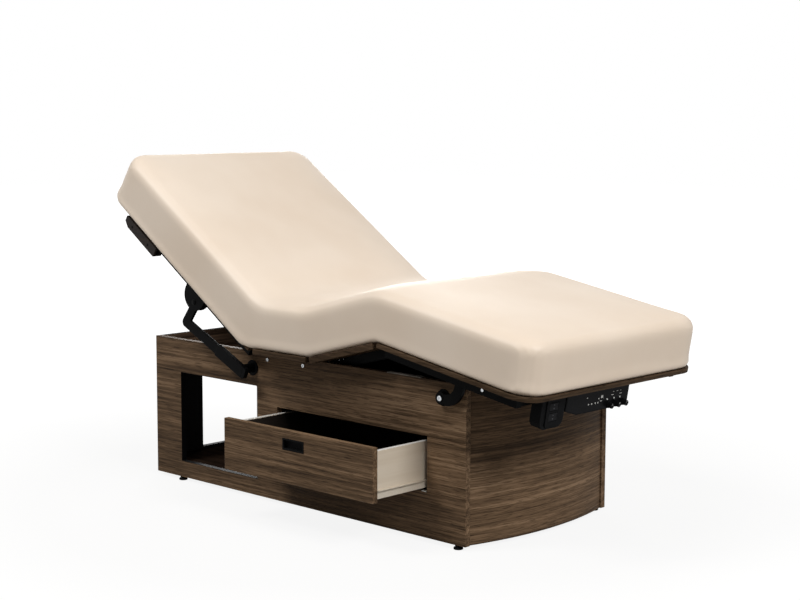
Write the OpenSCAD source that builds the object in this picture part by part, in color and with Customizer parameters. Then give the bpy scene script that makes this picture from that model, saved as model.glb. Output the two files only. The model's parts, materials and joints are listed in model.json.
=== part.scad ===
// Spa bed on a fixed wooden cabinet: a four-section motorised top, a side drawer and a
// leg-room bay at the head end. Millimetres, +Z up, origin on the floor under the middle
// of the cabinet, +X towards the foot end, -Y towards the drawer side.

/* [Cabinet] */
// Length of the cabinet, head panel to foot end of the side panels
cab_len = 1300; // [1290:1:1310]
// Width of the cabinet over both side panels
cab_wid = 610; // [604:1:616]
// Height of the cabinet's top above the floor
cab_top = 445; // [443:0.5:445.5]
// Thickness of the cabinet boards
board_t = 18; // [16:0.5:19]
// Height of the cabinet's underside above the floor
cab_lift = 12; // [8:1:16]
// How far the middle of the foot panel bows out past its ends
foot_bow = 40; // [25:1:50]

/* [Leg room] */
// Distance from the head end to the cutout in each side panel
bay_inset = 121; // [110:1:130]
// Length of the cutout in each side panel
bay_len = 356; // [340:1:365]
// Height of the cutout's lower edge above the floor
bay_sill = 62; // [61:1:75]
// Height of the cutout's upper edge above the floor
bay_head = 343; // [325:1:345]
// Width of the opening in the head panel
bay_wid = 270; // [240:2:300]
// Height of the lower edge of the head panel's opening
bay_rear_sill = 67; // [64:1:85]
// Radius of the cutouts' corners
bay_corner_r = 3; // [2:0.5:6]

/* [Drawer] */
// Distance from the middle of the cabinet back to the head side of the drawer opening
drawer_back_x = 85; // [75:1:95]
// Width of the drawer opening
drawer_gap_w = 597; // [580:1:605]
// Height of the opening's lower edge above the floor
drawer_sill = 137; // [130:1:142]
// Height of the drawer opening
drawer_gap_h = 154; // [148:1:155]
// Gap round the drawer front
drawer_reveal = 3; // [2:0.5:4]
// Depth of the drawer box behind its front
drawer_depth = 430; // [400:5:450]
// Height of the drawer box
drawer_box_h = 126; // [110:1:128]
// Thickness of the drawer box's walls
drawer_wall = 12; // [9:0.5:14]
// Thickness of the drawer's bottom sheet
drawer_base_t = 5; // [4:0.5:8]
// How far the drawer stands open at rest
drawer_out = 204; // [0:1:300]
// Space for a slide between the box and the side of the opening
slide_space = 12.5; // [12:0.1:13]
// Width of the recessed pull
pull_w = 85; // [70:1:100]
// Height of the recessed pull
pull_h = 32.5; // [26:0.5:38]

/* [Top] */
// Height of the deck surface that carries the seat cushion
deck_top = 466; // [466:0.5:469]
// Length of the back section
back_len = 798; // [785:1:810]
// Length of the seat section
seat_len = 251; // [245:1:260]
// Length of the thigh section
thigh_len = 272; // [268:1:274]
// Length of the leg section
leg_len = 542; // [535:1:560]
// Where the back section's hinge stands, counted from the middle towards the head
back_hinge_x = 133; // [130:1:134]
// Width of the cushions
pad_wid = 762; // [752:2:772]
// Thickness of the cushions
pad_t = 150; // [130:1:155]
// Radius of the cushions' top edges
pad_edge_r = 30; // [20:1:36]
// Radius of the top's four outer corners in plan
pad_corner_r = 72; // [50:1:90]
// How much the cushions' top rises to the middle
pad_crown = 6; // [2:0.5:8]
// How far the boards stand in from the cushions' sides
deck_inset = 6; // [4:1:9]
// How far the back board stands in, inside the back cushion's hem
back_inset = 15; // [13:0.5:17]
// How far the back cushion's hem hangs down round its board
back_hem = 19; // [17:0.5:19]
// Thickness of the back, seat and leg boards
deck_t = 15; // [13:0.5:16]
// Thickness of the thigh board
thigh_deck_t = 18; // [15:0.5:18]
// Thickness of the leg board
leg_deck_t = 12; // [11:0.5:13]

/* [Angles at rest] */
// Rise of the back section
back_angle = 34; // [30:0.5:36]
// Rise of the thigh section
thigh_angle = 15.1; // [14.5:0.1:15.5]
// Fall of the leg section
leg_angle = 9.8; // [9.5:0.1:10.2]
// Steepest rise of the back section
back_max = 60; // [58:1:62]

/* [Hinges] */
// Depth of the hinge pins below the deck surface
pin_drop = 8; // [7.5:0.1:8.5]
// Radius of the hinge pins
pin_r = 4; // [3:0.1:4.4]
// Outer radius of the hinge barrels
barrel_r = 7; // [6.2:0.1:7.2]
// Length of one hinge
hinge_w = 60; // [54:1:66]
// Distance of the outer hinges from the middle
hinge_y = 250; // [240:1:255]
// Thickness of the hinge leaves
leaf_t = 2.5; // [2:0.1:2.8]

/* [Back arms] */
// Distance of the arm shaft from the middle towards the head
arm_x = 190; // [188:0.5:192]
// Height of the arm shaft above the floor
arm_z = 395.5; // [394:0.5:397]
// Where the arm's upper pivot stands along the back section from its hinge
arm_along = 277; // [274:0.1:280]
// How far the upper pivot stands below the hinge line
arm_below = 42; // [41:0.1:43]
// Slope of the sleeve at rest
sleeve_angle = 25.56; // [25:0.01:26.5]
// Distance from the arm shaft to the bend of the arm
bend_reach = 271.7; // [269:0.1:274]
// Width of the bent arm
bar_w = 30; // [27:0.5:30]
// Thickness of the bent arm
bar_t = 10; // [8:0.5:10.5]
// Width of the sleeve
sleeve_w = 35; // [35:0.5:40]
// Length of the sleeve beyond the arm shaft
sleeve_reach = 111; // [105:1:118]
// Radius of the half-round bracket plates
bracket_r = 47.5; // [46:0.5:49]
// Radius of the arm shaft
arm_shaft_r = 14; // [12:0.5:15]
// Length of the slot in the arm's eye, which makes up for the linkage's uneven rate
slot_run = 14; // [13.8:0.1:14.5]

/* [Leg arms] */
// Distance of the leg arm shaft from the middle towards the foot
leg_arm_x = 572; // [571:0.1:573]
// Height of the leg arm shaft above the floor
leg_arm_z = 403; // [402:0.1:404]
// Where the leg arm's pin stands along the leg section from the knee hinge
leg_pin_along = 262.6; // [262:0.1:263]
// How far the leg arm's pin stands below the hinge line
leg_pin_below = 22; // [21.5:0.1:22.5]
// Thickness of the leg arm
leg_arm_t = 10; // [8:0.5:11]
// Width of the leg arm
leg_arm_w = 30; // [26:0.5:32]
// Radius of the leg arm shaft
leg_shaft_r = 12; // [10:0.5:13]

/* [Controls] */
// Width of the control box
box_w = 269; // [250:1:280]
// Height of the control box
box_h = 66; // [60:1:70]
// Depth of the control box
box_d = 88; // [80:1:92]
// Radius of the control knobs
knob_r = 9; // [7:0.5:10]
// Length of the control knobs
knob_len = 14; // [10:0.5:16]
// Width of the hand control
handset_w = 58; // [50:1:62]
// Height of the hand control
handset_h = 78; // [70:1:80]

/* [Hidden] */

$fn = 64;
fine_fn = 180;
round_fn = 32;
// Overrun of every cut past the face it opens
over = 1;
// Gap that keeps two seated bodies apart
seat_gap = 0.3;
// Radial clearance of a pin or shaft that turns
run_gap = 0.05;
// Larger than the whole bed, for half spaces
far = 3000;

wood = "#5d4737";
dark_wood = "#33281f";
cream = "#e0d5c5";
steel_black = "#151515";
plastic_black = "#1c1c1c";
silver = "#c9cbcc";
hide = "#f1dfca";

// Faces of the cabinet
head_x = -cab_len / 2;
foot_x = cab_len / 2;
near_y = -cab_wid / 2;
inner_w = cab_wid - 2 * board_t;
bay_x0 = head_x + bay_inset;
bay_x1 = bay_x0 + bay_len;
drawer_x0 = -drawer_back_x;
drawer_x1 = drawer_x0 + drawer_gap_w;
drawer_head = drawer_sill + drawer_gap_h;
floor_step = 2;
floor_top = bay_sill - floor_step;
machine_deck_t = 12;
machine_gap = 6;
machine_z = drawer_head + machine_gap;
machine_top = machine_z + machine_deck_t;
shelf_gap = 4;

// Hinge lines
pin_z = deck_top - pin_drop;
back_x = -back_hinge_x;
hip_x = back_x + seat_len;
half_gap = 8.5;
hinge_ys = [-hinge_y, 0, hinge_y];
knuckle_w = hinge_w / 3;

// Sections in their rest positions: local X runs along the section from its hinge,
// local Z = 0 is the deck surface.
module at_back()
    translate([back_x, 0, pin_z]) rotate([0, back_angle, 0]) translate([0, 0, pin_drop]) children();
module at_thigh()
    translate([hip_x, 0, pin_z]) rotate([0, -thigh_angle, 0]) translate([0, 0, pin_drop]) children();
knee_x = hip_x + thigh_len * cos(thigh_angle);
knee_z = pin_z + thigh_len * sin(thigh_angle);
module at_leg()
    translate([knee_x, 0, knee_z]) rotate([0, leg_angle, 0]) translate([0, 0, pin_drop]) children();

module both_sides() {
    children();
    mirror([0, 1, 0]) children();
}

// A flat shape drawn in X and Z, standing between y0 and y0 + t
module slab_xz(y0, t)
    translate([0, y0 + t, 0]) rotate([90, 0, 0]) linear_extrude(t) children();

// A flat shape drawn in Y and Z, standing between x0 and x0 + t
module slab_yz(x0, t)
    translate([x0, 0, 0]) rotate([90, 0, 90]) linear_extrude(t) children();

module block(x, y, z) translate([x[0], y[0], z[0]]) cube([x[1] - x[0], y[1] - y[0], z[1] - z[0]]);

module pin_y(r, y0, y1) translate([0, y0, 0]) rotate([-90, 0, 0]) cylinder(r = r, h = y1 - y0);
module pin_x(r, x0, x1) translate([x0, 0, 0]) rotate([0, 90, 0]) cylinder(r = r, h = x1 - x0);

module rounded_rect(x0, x1, y0, y1, r) {
    translate([x0 + r, y0]) square([x1 - x0 - 2 * r, y1 - y0]);
    translate([x0, y0 + r]) square([x1 - x0, y1 - y0 - 2 * r]);
    for (x = [x0 + r, x1 - r], y = [y0 + r, y1 - r]) translate([x, y]) circle(r);
}

// A straight bar of width w between two points of a flat shape
module bar_2d(p, q, w) {
    run = q - p;
    translate(p) rotate(atan2(run[1], run[0])) translate([0, -w / 2]) square([norm(run), w]);
}

// Cabinet: side panels with the leg-room cutout
bush_r = 18;
frame_bolt_xs = [-123.5, 28.6];
frame_bolt_z = 426;
frame_bolt_r = 4;
bay_shape_r = bay_corner_r;

module side_outline() {
    difference() {
        translate([head_x, cab_lift]) square([cab_len, cab_top - cab_lift]);
        rounded_rect(bay_x0, bay_x1, bay_sill, bay_head, bay_shape_r);
        translate([-arm_x, arm_z]) circle(bush_r);
        translate([leg_arm_x, leg_arm_z]) circle(bush_r);
        for (x = frame_bolt_xs) translate([x, frame_bolt_z]) circle(frame_bolt_r + run_gap);
    }
}

// Levelling glides screwed up into the lower edges
glide_head_inset = 116;
glide_foot_inset = 32;
glide_xs = [head_x + glide_head_inset, foot_x - glide_foot_inset];
glide_mid_stem = floor_top - over - cab_lift;
glide_y = cab_wid / 2 - board_t / 2;
glide_r = 13;
glide_stem_r = 4;
glide_stem_len = 26;
module glide_holes()
    for (x = glide_xs) translate([x, -glide_y, cab_lift - over])
        cylinder(r = glide_stem_r, h = glide_stem_len + over);

seam_w = 2;
seam_d = 1.5;

module near_side_panel() {
    color(wood) difference() {
        slab_xz(near_y, board_t) difference() {
            side_outline();
            translate([drawer_x0, drawer_sill]) square([drawer_gap_w, drawer_gap_h]);
        }
        glide_holes();
        // Shadow seams that run on from the drawer opening to the foot end
        for (z = [drawer_sill, drawer_head - seam_w])
            block([drawer_x1 - over, foot_x + over], [near_y - over, near_y + seam_d], [z, z + seam_w]);
    }
}

inlet_x = 545;
inlet_z = 96;
inlet_w = 28;
inlet_h = 22;
inlet_flange = 9;

module far_side_panel() {
    color(wood) mirror([0, 1, 0]) difference() {
        slab_xz(near_y, board_t) side_outline();
        glide_holes();
        block([inlet_x, inlet_x + inlet_w], [near_y - over, near_y + board_t + over],
              [inlet_z, inlet_z + inlet_h]);
    }
}

module head_panel() {
    color(wood) slab_yz(head_x, board_t) difference() {
        translate([-inner_w / 2, cab_lift]) square([inner_w, cab_top - board_t - cab_lift]);
        rounded_rect(-bay_wid / 2, bay_wid / 2, bay_rear_sill, bay_head, bay_shape_r);
    }
}

// The foot panel is a slice of a tall drum, set between the side panels
foot_set = 4;
foot_side_gap = 1.5;
foot_half = inner_w / 2 - foot_side_gap;
foot_arc_r = (foot_half * foot_half + foot_bow * foot_bow) / (2 * foot_bow);
foot_axis_x = foot_x - foot_set + foot_bow - foot_arc_r;
foot_top_drop = 3;

module drum(inset, z0, z1)
    translate([foot_axis_x, 0, z0]) cylinder(r = foot_arc_r - inset, h = z1 - z0, $fn = fine_fn);

module foot_panel() {
    color(wood) intersection() {
        difference() {
            drum(0, cab_lift, cab_top - foot_top_drop);
            drum(board_t, cab_lift - over, cab_top);
        }
        block([0, far], [-foot_half, foot_half], [0, cab_top]);
    }
}

// A board between the side panels whose foot end follows the foot panel
module drum_board(x0, z0, z1) intersection() {
    block([x0, far], [-inner_w / 2, inner_w / 2], [z0, z1]);
    drum(board_t, z0, z1);
}
module floor_panel() {
    color(dark_wood) difference() {
        drum_board(head_x + board_t, floor_top - board_t, floor_top);
        cylinder(r = glide_stem_r, h = floor_top - over);
    }
}

partition_x1 = drawer_x0;
partition_x0 = partition_x1 - board_t;
bearer_w = 30;
bearer_h = 50;
bearer_wall = 3;
bearer_top = deck_top - deck_t;
rail_t = 25;
partition_top = bearer_top - rail_t - leaf_t - seat_gap;
shelf_end_x = frame_bolt_xs[0] - bearer_w / 2 - shelf_gap;
strip_t = 3;
strip_cap = 12;

module top_shelf() {
    color(wood) difference() {
        block([head_x + strip_t, shelf_end_x], [-inner_w / 2, inner_w / 2],
              [cab_top - board_t, cab_top]);
        // Rebate that takes the strip's cap
        block([head_x, head_x + strip_cap], [-inner_w / 2 - over, inner_w / 2 + over],
              [cab_top - strip_t, cab_top + over]);
    }
}

module shelf_edge_strip() {
    color(steel_black) union() {
        block([head_x, head_x + strip_t], [-inner_w / 2, inner_w / 2], [cab_top - board_t, cab_top]);
        block([head_x, head_x + strip_cap], [-inner_w / 2, inner_w / 2], [cab_top - strip_t, cab_top]);
    }
}

// Where the two lifting rods run
back_rod_y = -70;
leg_rod_y = 70;
lever_drop = 50;
back_rod_z = arm_z - lever_drop;
leg_rod_z = leg_arm_z - lever_drop;
rod_r = 8;
outer_tube_r = 14;
tube_hole_gap = 4;
tube_hole_r = outer_tube_r + tube_hole_gap;

module partition_panel() {
    color(dark_wood) slab_yz(partition_x0, board_t) difference() {
        translate([-inner_w / 2, floor_top]) square([inner_w, partition_top - floor_top]);
        translate([back_rod_y, back_rod_z]) circle(tube_hole_r);
    }
}

divider_past = 20;
divider_len = drawer_depth + divider_past;
module drawer_divider() {
    color(dark_wood)
        block([drawer_x1, drawer_x1 + board_t],
              [near_y + board_t, near_y + board_t + divider_len], [floor_top, machine_z]);
}

module machine_deck() color(dark_wood) drum_board(partition_x1, machine_z, machine_top);

// One more stands under the middle of the floor panel, on a longer stem
glide_cone_share = 0.75;
module glide(stem) {
    cylinder(r = glide_r, h = cab_lift / 2);
    translate([0, 0, cab_lift / 2])
        cylinder(r1 = glide_r, r2 = glide_r * glide_cone_share, h = cab_lift / 2);
    cylinder(r = glide_stem_r - run_gap, h = cab_lift + stem);
}
module levelling_glides() {
    color(plastic_black) {
        both_sides() for (x = glide_xs) translate([x, -glide_y, 0]) glide(glide_stem_len - over);
        glide(glide_mid_stem - over);
    }
}

// Flanged plastic bushes carry both arm shafts in the side panels
bush_flange_r = 23;
bush_flange_t = 4;
module bush(shaft_r) rotate([90, 0, 0]) difference() {
    union() {
        cylinder(r = bush_r, h = board_t + over);
        translate([0, 0, board_t]) cylinder(r = bush_flange_r, h = bush_flange_t);
    }
    translate([0, 0, -over]) cylinder(r = shaft_r + run_gap, h = board_t + bush_flange_t + 2 * over);
}
module shaft_bushes() {
    color(plastic_black) both_sides() {
        translate([-arm_x, near_y + board_t, arm_z]) bush(arm_shaft_r);
        translate([leg_arm_x, near_y + board_t, leg_arm_z]) bush(leg_shaft_r);
    }
}

// Seat frame: two cross bearers bolted between the side panels, two rails and the
// fixed halves of the back and hip hinges
seat_rail_y = 220;
module bearer(x) difference() {
    block([x - bearer_w / 2, x + bearer_w / 2], [-inner_w / 2, inner_w / 2],
          [bearer_top - bearer_h, bearer_top]);
    block([x - bearer_w / 2 + bearer_wall, x + bearer_w / 2 - bearer_wall],
          [-inner_w / 2 + 2 * bearer_wall, inner_w / 2 - 2 * bearer_wall],
          [bearer_top - bearer_h + bearer_wall, bearer_top - bearer_wall]);
    both_sides() translate([x, 0, frame_bolt_z])
        pin_y(frame_bolt_r, -inner_w / 2 - over, -inner_w / 2 + 3 * bearer_wall);
}

// Half of the hinges, with the leaves under a board of thickness t; the board lies on
// the -X side when side = -1 and on the +X side when side = 1
leaf_len = 38;
notch_x = 9;
notch_z = 4;
end_knuckle_shares = [[-1.5, -0.5], [0.5, 1.5]];
mid_knuckle_shares = [[-0.5, 0.5]];
module knuckle_web(side, y0, y1, t) {
    drop = t + leaf_t;
    mirror([side < 0 ? 1 : 0, 0, 0]) block([0, half_gap], [y0, y1], [-drop, -pin_drop]);
}
module hinge_half(side, t, outer) {
    spans = outer ? end_knuckle_shares : mid_knuckle_shares;
    trim = outer ? 0 : seat_gap;
    for (y = hinge_ys) translate([0, y, 0]) {
        difference() {
            for (s = spans) {
                y0 = s[0] * knuckle_w + trim;
                y1 = s[1] * knuckle_w - trim;
                translate([0, 0, -pin_drop]) pin_y(barrel_r, y0, y1);
                knuckle_web(side, y0, y1, t);
            }
            translate([0, 0, -pin_drop]) pin_y(pin_r + run_gap, -hinge_w, hinge_w);
        }
        mirror([side < 0 ? 1 : 0, 0, 0])
            block([half_gap - over, half_gap + leaf_len], [-hinge_w / 2, hinge_w / 2], [-t - leaf_t, -t]);
    }
}

module seat_frame() {
    color(steel_black) {
        union() {
            difference() {
                bearer(frame_bolt_xs[0]);
                // Room for the swinging knuckles of the back hinges
                for (y = hinge_ys)
                    block([back_x - bearer_w, back_x + notch_x],
                          [y - knuckle_w / 2 - over, y + knuckle_w / 2 + over],
                          [bearer_top - notch_z, bearer_top + over]);
            }
            bearer(frame_bolt_xs[1]);
            block([hip_x - half_gap - leaf_len, hip_x - 2 * half_gap],
                  [-seat_rail_y, seat_rail_y], [bearer_top - 2 * leaf_t, bearer_top - leaf_t]);
            both_sides() {
                block([frame_bolt_xs[0] + bearer_w / 2, frame_bolt_xs[1] - bearer_w / 2],
                      [-seat_rail_y - rail_t, -seat_rail_y],
                      [bearer_top - rail_t - leaf_t, bearer_top - leaf_t]);
                block([frame_bolt_xs[1] + bearer_w / 2, hip_x - 2 * half_gap],
                      [-seat_rail_y - rail_t, -seat_rail_y],
                      [bearer_top - rail_t - leaf_t, bearer_top - leaf_t]);
            }
            translate([hip_x, 0, deck_top]) hinge_half(-1, deck_t, true);
            // The back hinges stand on the first bearer
            for (y = hinge_ys) translate([back_x, y, pin_z]) difference() {
                for (s = end_knuckle_shares) {
                    pin_y(barrel_r, s[0] * knuckle_w, s[1] * knuckle_w);
                    block([0, half_gap + barrel_r], [s[0] * knuckle_w, s[1] * knuckle_w],
                          [-deck_t + pin_drop, -pin_r - over]);
                }
                pin_y(pin_r + run_gap, -hinge_w, hinge_w);
            }
        }
    }
}

bolt_head_r = 8;
bolt_head_t = 4;
socket_r = 3.2;
bolt_shank = board_t + 2 * bearer_wall;
module frame_bolts() {
    color(silver) both_sides() for (x = frame_bolt_xs) translate([x, near_y, frame_bolt_z]) {
        difference() {
            pin_y(bolt_head_r, -bolt_head_t, 0);
            rotate([90, 0, 0]) translate([0, 0, bolt_head_t / 2])
                cylinder(r = socket_r, h = bolt_head_t, $fn = 6);
        }
        pin_y(frame_bolt_r, 0, bolt_shank);
    }
}

deck_half = pad_wid / 2 - deck_inset;
deck_corner_r = pad_corner_r - deck_inset;
seat_ledge = 4;
seat_deck_start = frame_bolt_xs[0] + bearer_w / 2 - seat_ledge;
module seat_deck() {
    color(wood)
        block([seat_deck_start, hip_x - half_gap], [-deck_half, deck_half],
              [deck_top - deck_t, deck_top]);
}

// Cushions: a rounded slab with a crown, sides drawn in and a soft lower edge
pad_waist = 5;
pad_foot_r = 9;
crown_reach = 150;
pad_round_steps = 5;
corner_steps = 5;
pad_foot_shares = [0.3, 0.4];
pad_waist_share = 0.6;
pad_side_shares = [0.25, 0.4, 0.6];
pad_crown_shares = [0.2, 0.45, 0.75, 1];
pad_corner_share = 0.1;
function pad_steps(t) = concat(
    [[pad_foot_r, 0], pad_foot_r * pad_foot_shares, [pad_waist * pad_waist_share, pad_foot_r]],
    [for (s = pad_side_shares) [pad_waist * sin(180 * s), t * s]],
    [for (k = [0:pad_round_steps])
        let (a = 90 * k / pad_round_steps)
        [pad_edge_r * (1 - cos(a)), t - pad_crown - pad_edge_r * (1 - sin(a))]],
    [for (s = pad_crown_shares)
        [pad_edge_r + crown_reach * s, t - pad_crown * (1 - s) * (1 - s)]]
);

function pad_ring(half_x, half_y, r, inset, z) = [
    for (q = [0:3], k = [0:corner_steps])
        let (a = 90 * q + 90 * k / corner_steps,
             rr = max(r - inset, r * pad_corner_share),
             sx = (q == 0 || q == 3) ? 1 : -1,
             sy = q < 2 ? 1 : -1)
        [sx * (half_x - inset - rr) + rr * cos(a), sy * (half_y - inset - rr) + rr * sin(a), z]
];

module pad_block(x0, x1, half_y, r, t) {
    half_x = (x1 - x0) / 2;
    n = 4 * (corner_steps + 1);
    steps = pad_steps(t);
    rings = len(steps);
    last = rings - 1;
    points = concat(
        [for (s = steps) each pad_ring(half_x, half_y, r, s[0], s[1])],
        [[0, 0, 0], [0, 0, steps[last][1]]]
    );
    sides = [for (i = [0:rings - 2], k = [0:n - 1])
        let (a = i * n + k, b = i * n + (k + 1) % n, c = a + n, d = b + n)
        each [[a, c, b], [b, c, d]]];
    bottom = [for (k = [0:n - 1]) [rings * n, k, (k + 1) % n]];
    top = [for (k = [0:n - 1]) [rings * n + 1, last * n + (k + 1) % n, last * n + k]];
    translate([(x0 + x1) / 2, 0, 0]) polyhedron(points, concat(sides, bottom, top));
}

// A half space whose face leans by an angle about a hinge line of the deck surface
module keep_before(x, lean)
    translate([x, 0, -pin_drop]) rotate([0, lean, 0])
        translate([-far - seat_gap, -far / 2, -far / 2]) cube(far);
module keep_after(x, lean)
    translate([x, 0, -pin_drop]) rotate([0, lean, 0])
        translate([seat_gap, -far / 2, -far / 2]) cube(far);

pad_past = 3 * crown_reach;
back_lean = back_max / 2;
hip_lean = thigh_angle / 2;

module seat_cushion() {
    color(hide) translate([0, 0, deck_top]) intersection() {
        pad_block(back_x - pad_past, hip_x + pad_past, pad_wid / 2, pad_corner_r, pad_t);
        keep_after(back_x, back_lean);
        keep_before(hip_x, -hip_lean);
    }
}

module hinge_pins() {
    color(silver) for (x = [back_x, hip_x], y = hinge_ys)
        translate([x, y, pin_z]) pin_y(pin_r, -hinge_w / 2, hinge_w / 2);
}

rest_strip_x0 = 360;
rest_strip_len = 127;
rest_strip_h = 2.5;
module leg_rest_strips() {
    color(silver) both_sides()
        block([rest_strip_x0, rest_strip_x0 + rest_strip_len], [near_y, near_y + board_t],
              [cab_top, cab_top + rest_strip_h]);
}

inlet_depth = 30;
inlet_wall = 2;
module mains_inlet() {
    color(plastic_black) mirror([0, 1, 0]) difference() {
        union() {
            block([inlet_x + seat_gap, inlet_x + inlet_w - seat_gap], [near_y, near_y + inlet_depth],
                  [inlet_z + seat_gap, inlet_z + inlet_h - seat_gap]);
            block([inlet_x - inlet_flange, inlet_x + inlet_w + inlet_flange],
                  [near_y - inlet_wall, near_y],
                  [inlet_z - inlet_wall, inlet_z + inlet_h + inlet_wall]);
        }
        block([inlet_x + 2 * inlet_wall, inlet_x + inlet_w - 2 * inlet_wall],
              [near_y - inlet_wall - over, near_y + inlet_depth - 2 * inlet_wall],
              [inlet_z + 2 * inlet_wall, inlet_z + inlet_h - 2 * inlet_wall]);
    }
}

// A linear actuator lying along X: outer tube with its mouth at 0, gear housing and motor
tube_len = 190;
mouth_cap_len = 16;
mouth_cap_r = 17;
gear_len = 66;
gear_w = 52;
gear_h = 66;
gear_r = 8;
motor_r = 24;
motor_len = 96;
module actuator() {
    difference() {
        union() {
            pin_x(outer_tube_r, 0, tube_len);
            pin_x(mouth_cap_r, 0, mouth_cap_len);
            translate([tube_len, 0, 0]) rotate([90, 0, 90]) linear_extrude(gear_len)
                rounded_rect(-gear_w / 2, gear_w / 2, -gear_h / 2, gear_h / 2, gear_r);
            translate([tube_len + gear_len / 2, gear_w / 2, 0]) pin_y(motor_r, 0, motor_len);
        }
        pin_x(rod_r + run_gap, -over, tube_len + over);
    }
}

rod_block = 11;
rod_pin_r = 5;
back_swing = 33.5;
back_lever_rest = 4.5;
leg_swing = 10.4;
back_mouth_x = -arm_x + lever_drop * tan(back_swing) + 2 * rod_block;
leg_mouth_x = leg_arm_x - lever_drop * tan(leg_swing) - 2 * rod_block;

module back_actuator() {
    color(plastic_black) translate([back_mouth_x, back_rod_y, back_rod_z]) mirror([0, 1, 0]) actuator();
}
module leg_actuator() {
    color(plastic_black) translate([leg_mouth_x, leg_rod_y, leg_rod_z]) mirror([1, 0, 0]) actuator();
}

saddle_w = 24;
saddle_t = 6;
module saddle(rod_z) difference() {
    block([-saddle_w / 2, saddle_w / 2], [-outer_tube_r - saddle_t, outer_tube_r + saddle_t],
          [machine_top, rod_z + saddle_t]);
    translate([0, 0, rod_z]) pin_x(outer_tube_r, -saddle_w, saddle_w);
}
module gear_foot(rod_z) block([0, gear_len], [-gear_w / 2, gear_w / 2], [machine_top, rod_z - gear_h / 2]);
module actuator_saddles() {
    color(steel_black) {
        translate([back_mouth_x + tube_len - 2 * saddle_w, back_rod_y, 0]) saddle(back_rod_z);
        translate([back_mouth_x + tube_len, back_rod_y, 0]) gear_foot(back_rod_z);
        translate([leg_mouth_x - tube_len + 2 * saddle_w, leg_rod_y, 0]) saddle(leg_rod_z);
        translate([leg_mouth_x - tube_len - gear_len, leg_rod_y, 0]) gear_foot(leg_rod_z);
    }
}

// Roller slides: the cabinet member carries a roller at its mouth, the drawer member
// hooks over it with its upper lip
slide_x = drawer_x1;
slide_web = 1.5;
slide_lift = 12;
slide_z0 = drawer_sill + slide_lift;
roller_r = 9;
roller_w = 7;
roller_z = slide_z0 + slide_web + seat_gap + roller_r;
lip_z = roller_z + roller_r + seat_gap;
slide_h = lip_z + 2 * slide_web + seat_gap - slide_z0;
slide_front_y = near_y + board_t + seat_gap;
slide_mid_x = (drawer_x0 + drawer_x1) / 2;
roller_front_y = slide_front_y + roller_r + over;
axle_r = 2.5;

module both_slides() {
    children();
    translate([2 * slide_mid_x, 0, 0]) mirror([1, 0, 0]) children();
}
module slide_cabinet_rails() {
    ledge = slide_space - slide_web - 2 * seat_gap;
    color(silver) both_slides() union() {
        block([slide_x - slide_web, slide_x], [slide_front_y, slide_front_y + drawer_depth],
              [slide_z0, slide_z0 + slide_h]);
        block([slide_x - ledge, slide_x], [slide_front_y, slide_front_y + drawer_depth],
              [slide_z0, slide_z0 + slide_web]);
        block([slide_x - ledge, slide_x],
              [slide_front_y + 3 * roller_r, slide_front_y + drawer_depth],
              [slide_z0 + slide_h - slide_web, slide_z0 + slide_h]);
        translate([0, roller_front_y, roller_z])
            pin_x(axle_r, slide_x - ledge + over, slide_x - slide_web / 2);
    }
}
module slide_front_rollers() {
    color("white") both_slides() translate([0, roller_front_y, roller_z]) difference() {
        pin_x(roller_r, slide_x - slide_web - seat_gap - roller_w, slide_x - slide_web - seat_gap);
        pin_x(axle_r + run_gap, slide_x - slide_space, slide_x);
    }
}

// Outline of an end board from a hinge out along +X, with its outer corners rounded
module end_outline(x0, x1, half, r) {
    translate([x0, -half]) square([x1 - r - x0, 2 * half]);
    translate([x0, -half + r]) square([x1 - x0, 2 * (half - r)]);
    for (s = [-1, 1]) translate([x1 - r, s * (half - r)]) circle(r);
}

// Back section
back_half = pad_wid / 2 - back_inset;
back_corner_r = pad_corner_r - back_inset;
module back_deck() {
    color(wood) at_back() translate([0, 0, -deck_t]) mirror([1, 0, 0]) linear_extrude(deck_t)
        end_outline(half_gap, back_len - back_inset, back_half, back_corner_r);
}

frame_y = 324;
frame_rail_w = 20;
frame_rail_h = 28;
back_rail_short = 120;
back_rail_len = back_len - back_rail_short;
cross_flat_w = 40;
cross_share = [0.3, 0.62];
module back_frame() {
    color(steel_black) at_back() union() {
        both_sides()
            block([-back_rail_len, -2 * half_gap], [-frame_y - frame_rail_w, -frame_y],
                  [-deck_t - frame_rail_h, -deck_t]);
        for (s = cross_share)
            block([-back_rail_len * s - cross_flat_w, -back_rail_len * s], [-frame_y, frame_y],
                  [-deck_t - leaf_t, -deck_t]);
        block([-back_rail_len, -back_rail_len + rail_t], [-frame_y, frame_y],
              [-deck_t - rail_t, -deck_t]);
        block([-half_gap - leaf_len, -half_gap], [-frame_y, frame_y], [-deck_t - leaf_t, -deck_t]);
        hinge_half(-1, deck_t, false);
    }
}

// The back cushion's hem hangs round its board and ends on a slant at the hinge
hem_end = 45;
module back_cushion() {
    color(hide) at_back() difference() {
        intersection() {
            translate([0, 0, -back_hem])
                pad_block(-back_len, pad_past, pad_wid / 2, pad_corner_r, pad_t + back_hem);
            keep_before(0, -back_lean);
        }
        translate([0, 0, -2 * back_hem]) mirror([1, 0, 0]) linear_extrude(2 * back_hem)
            end_outline(-hem_end, back_len - back_inset + seat_gap, back_half + seat_gap,
                        back_corner_r + seat_gap);
        rotate([0, -atan(back_hem / hem_end), 0])
            translate([-far / 2, -far / 2, -far]) cube(far);
    }
}

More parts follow.
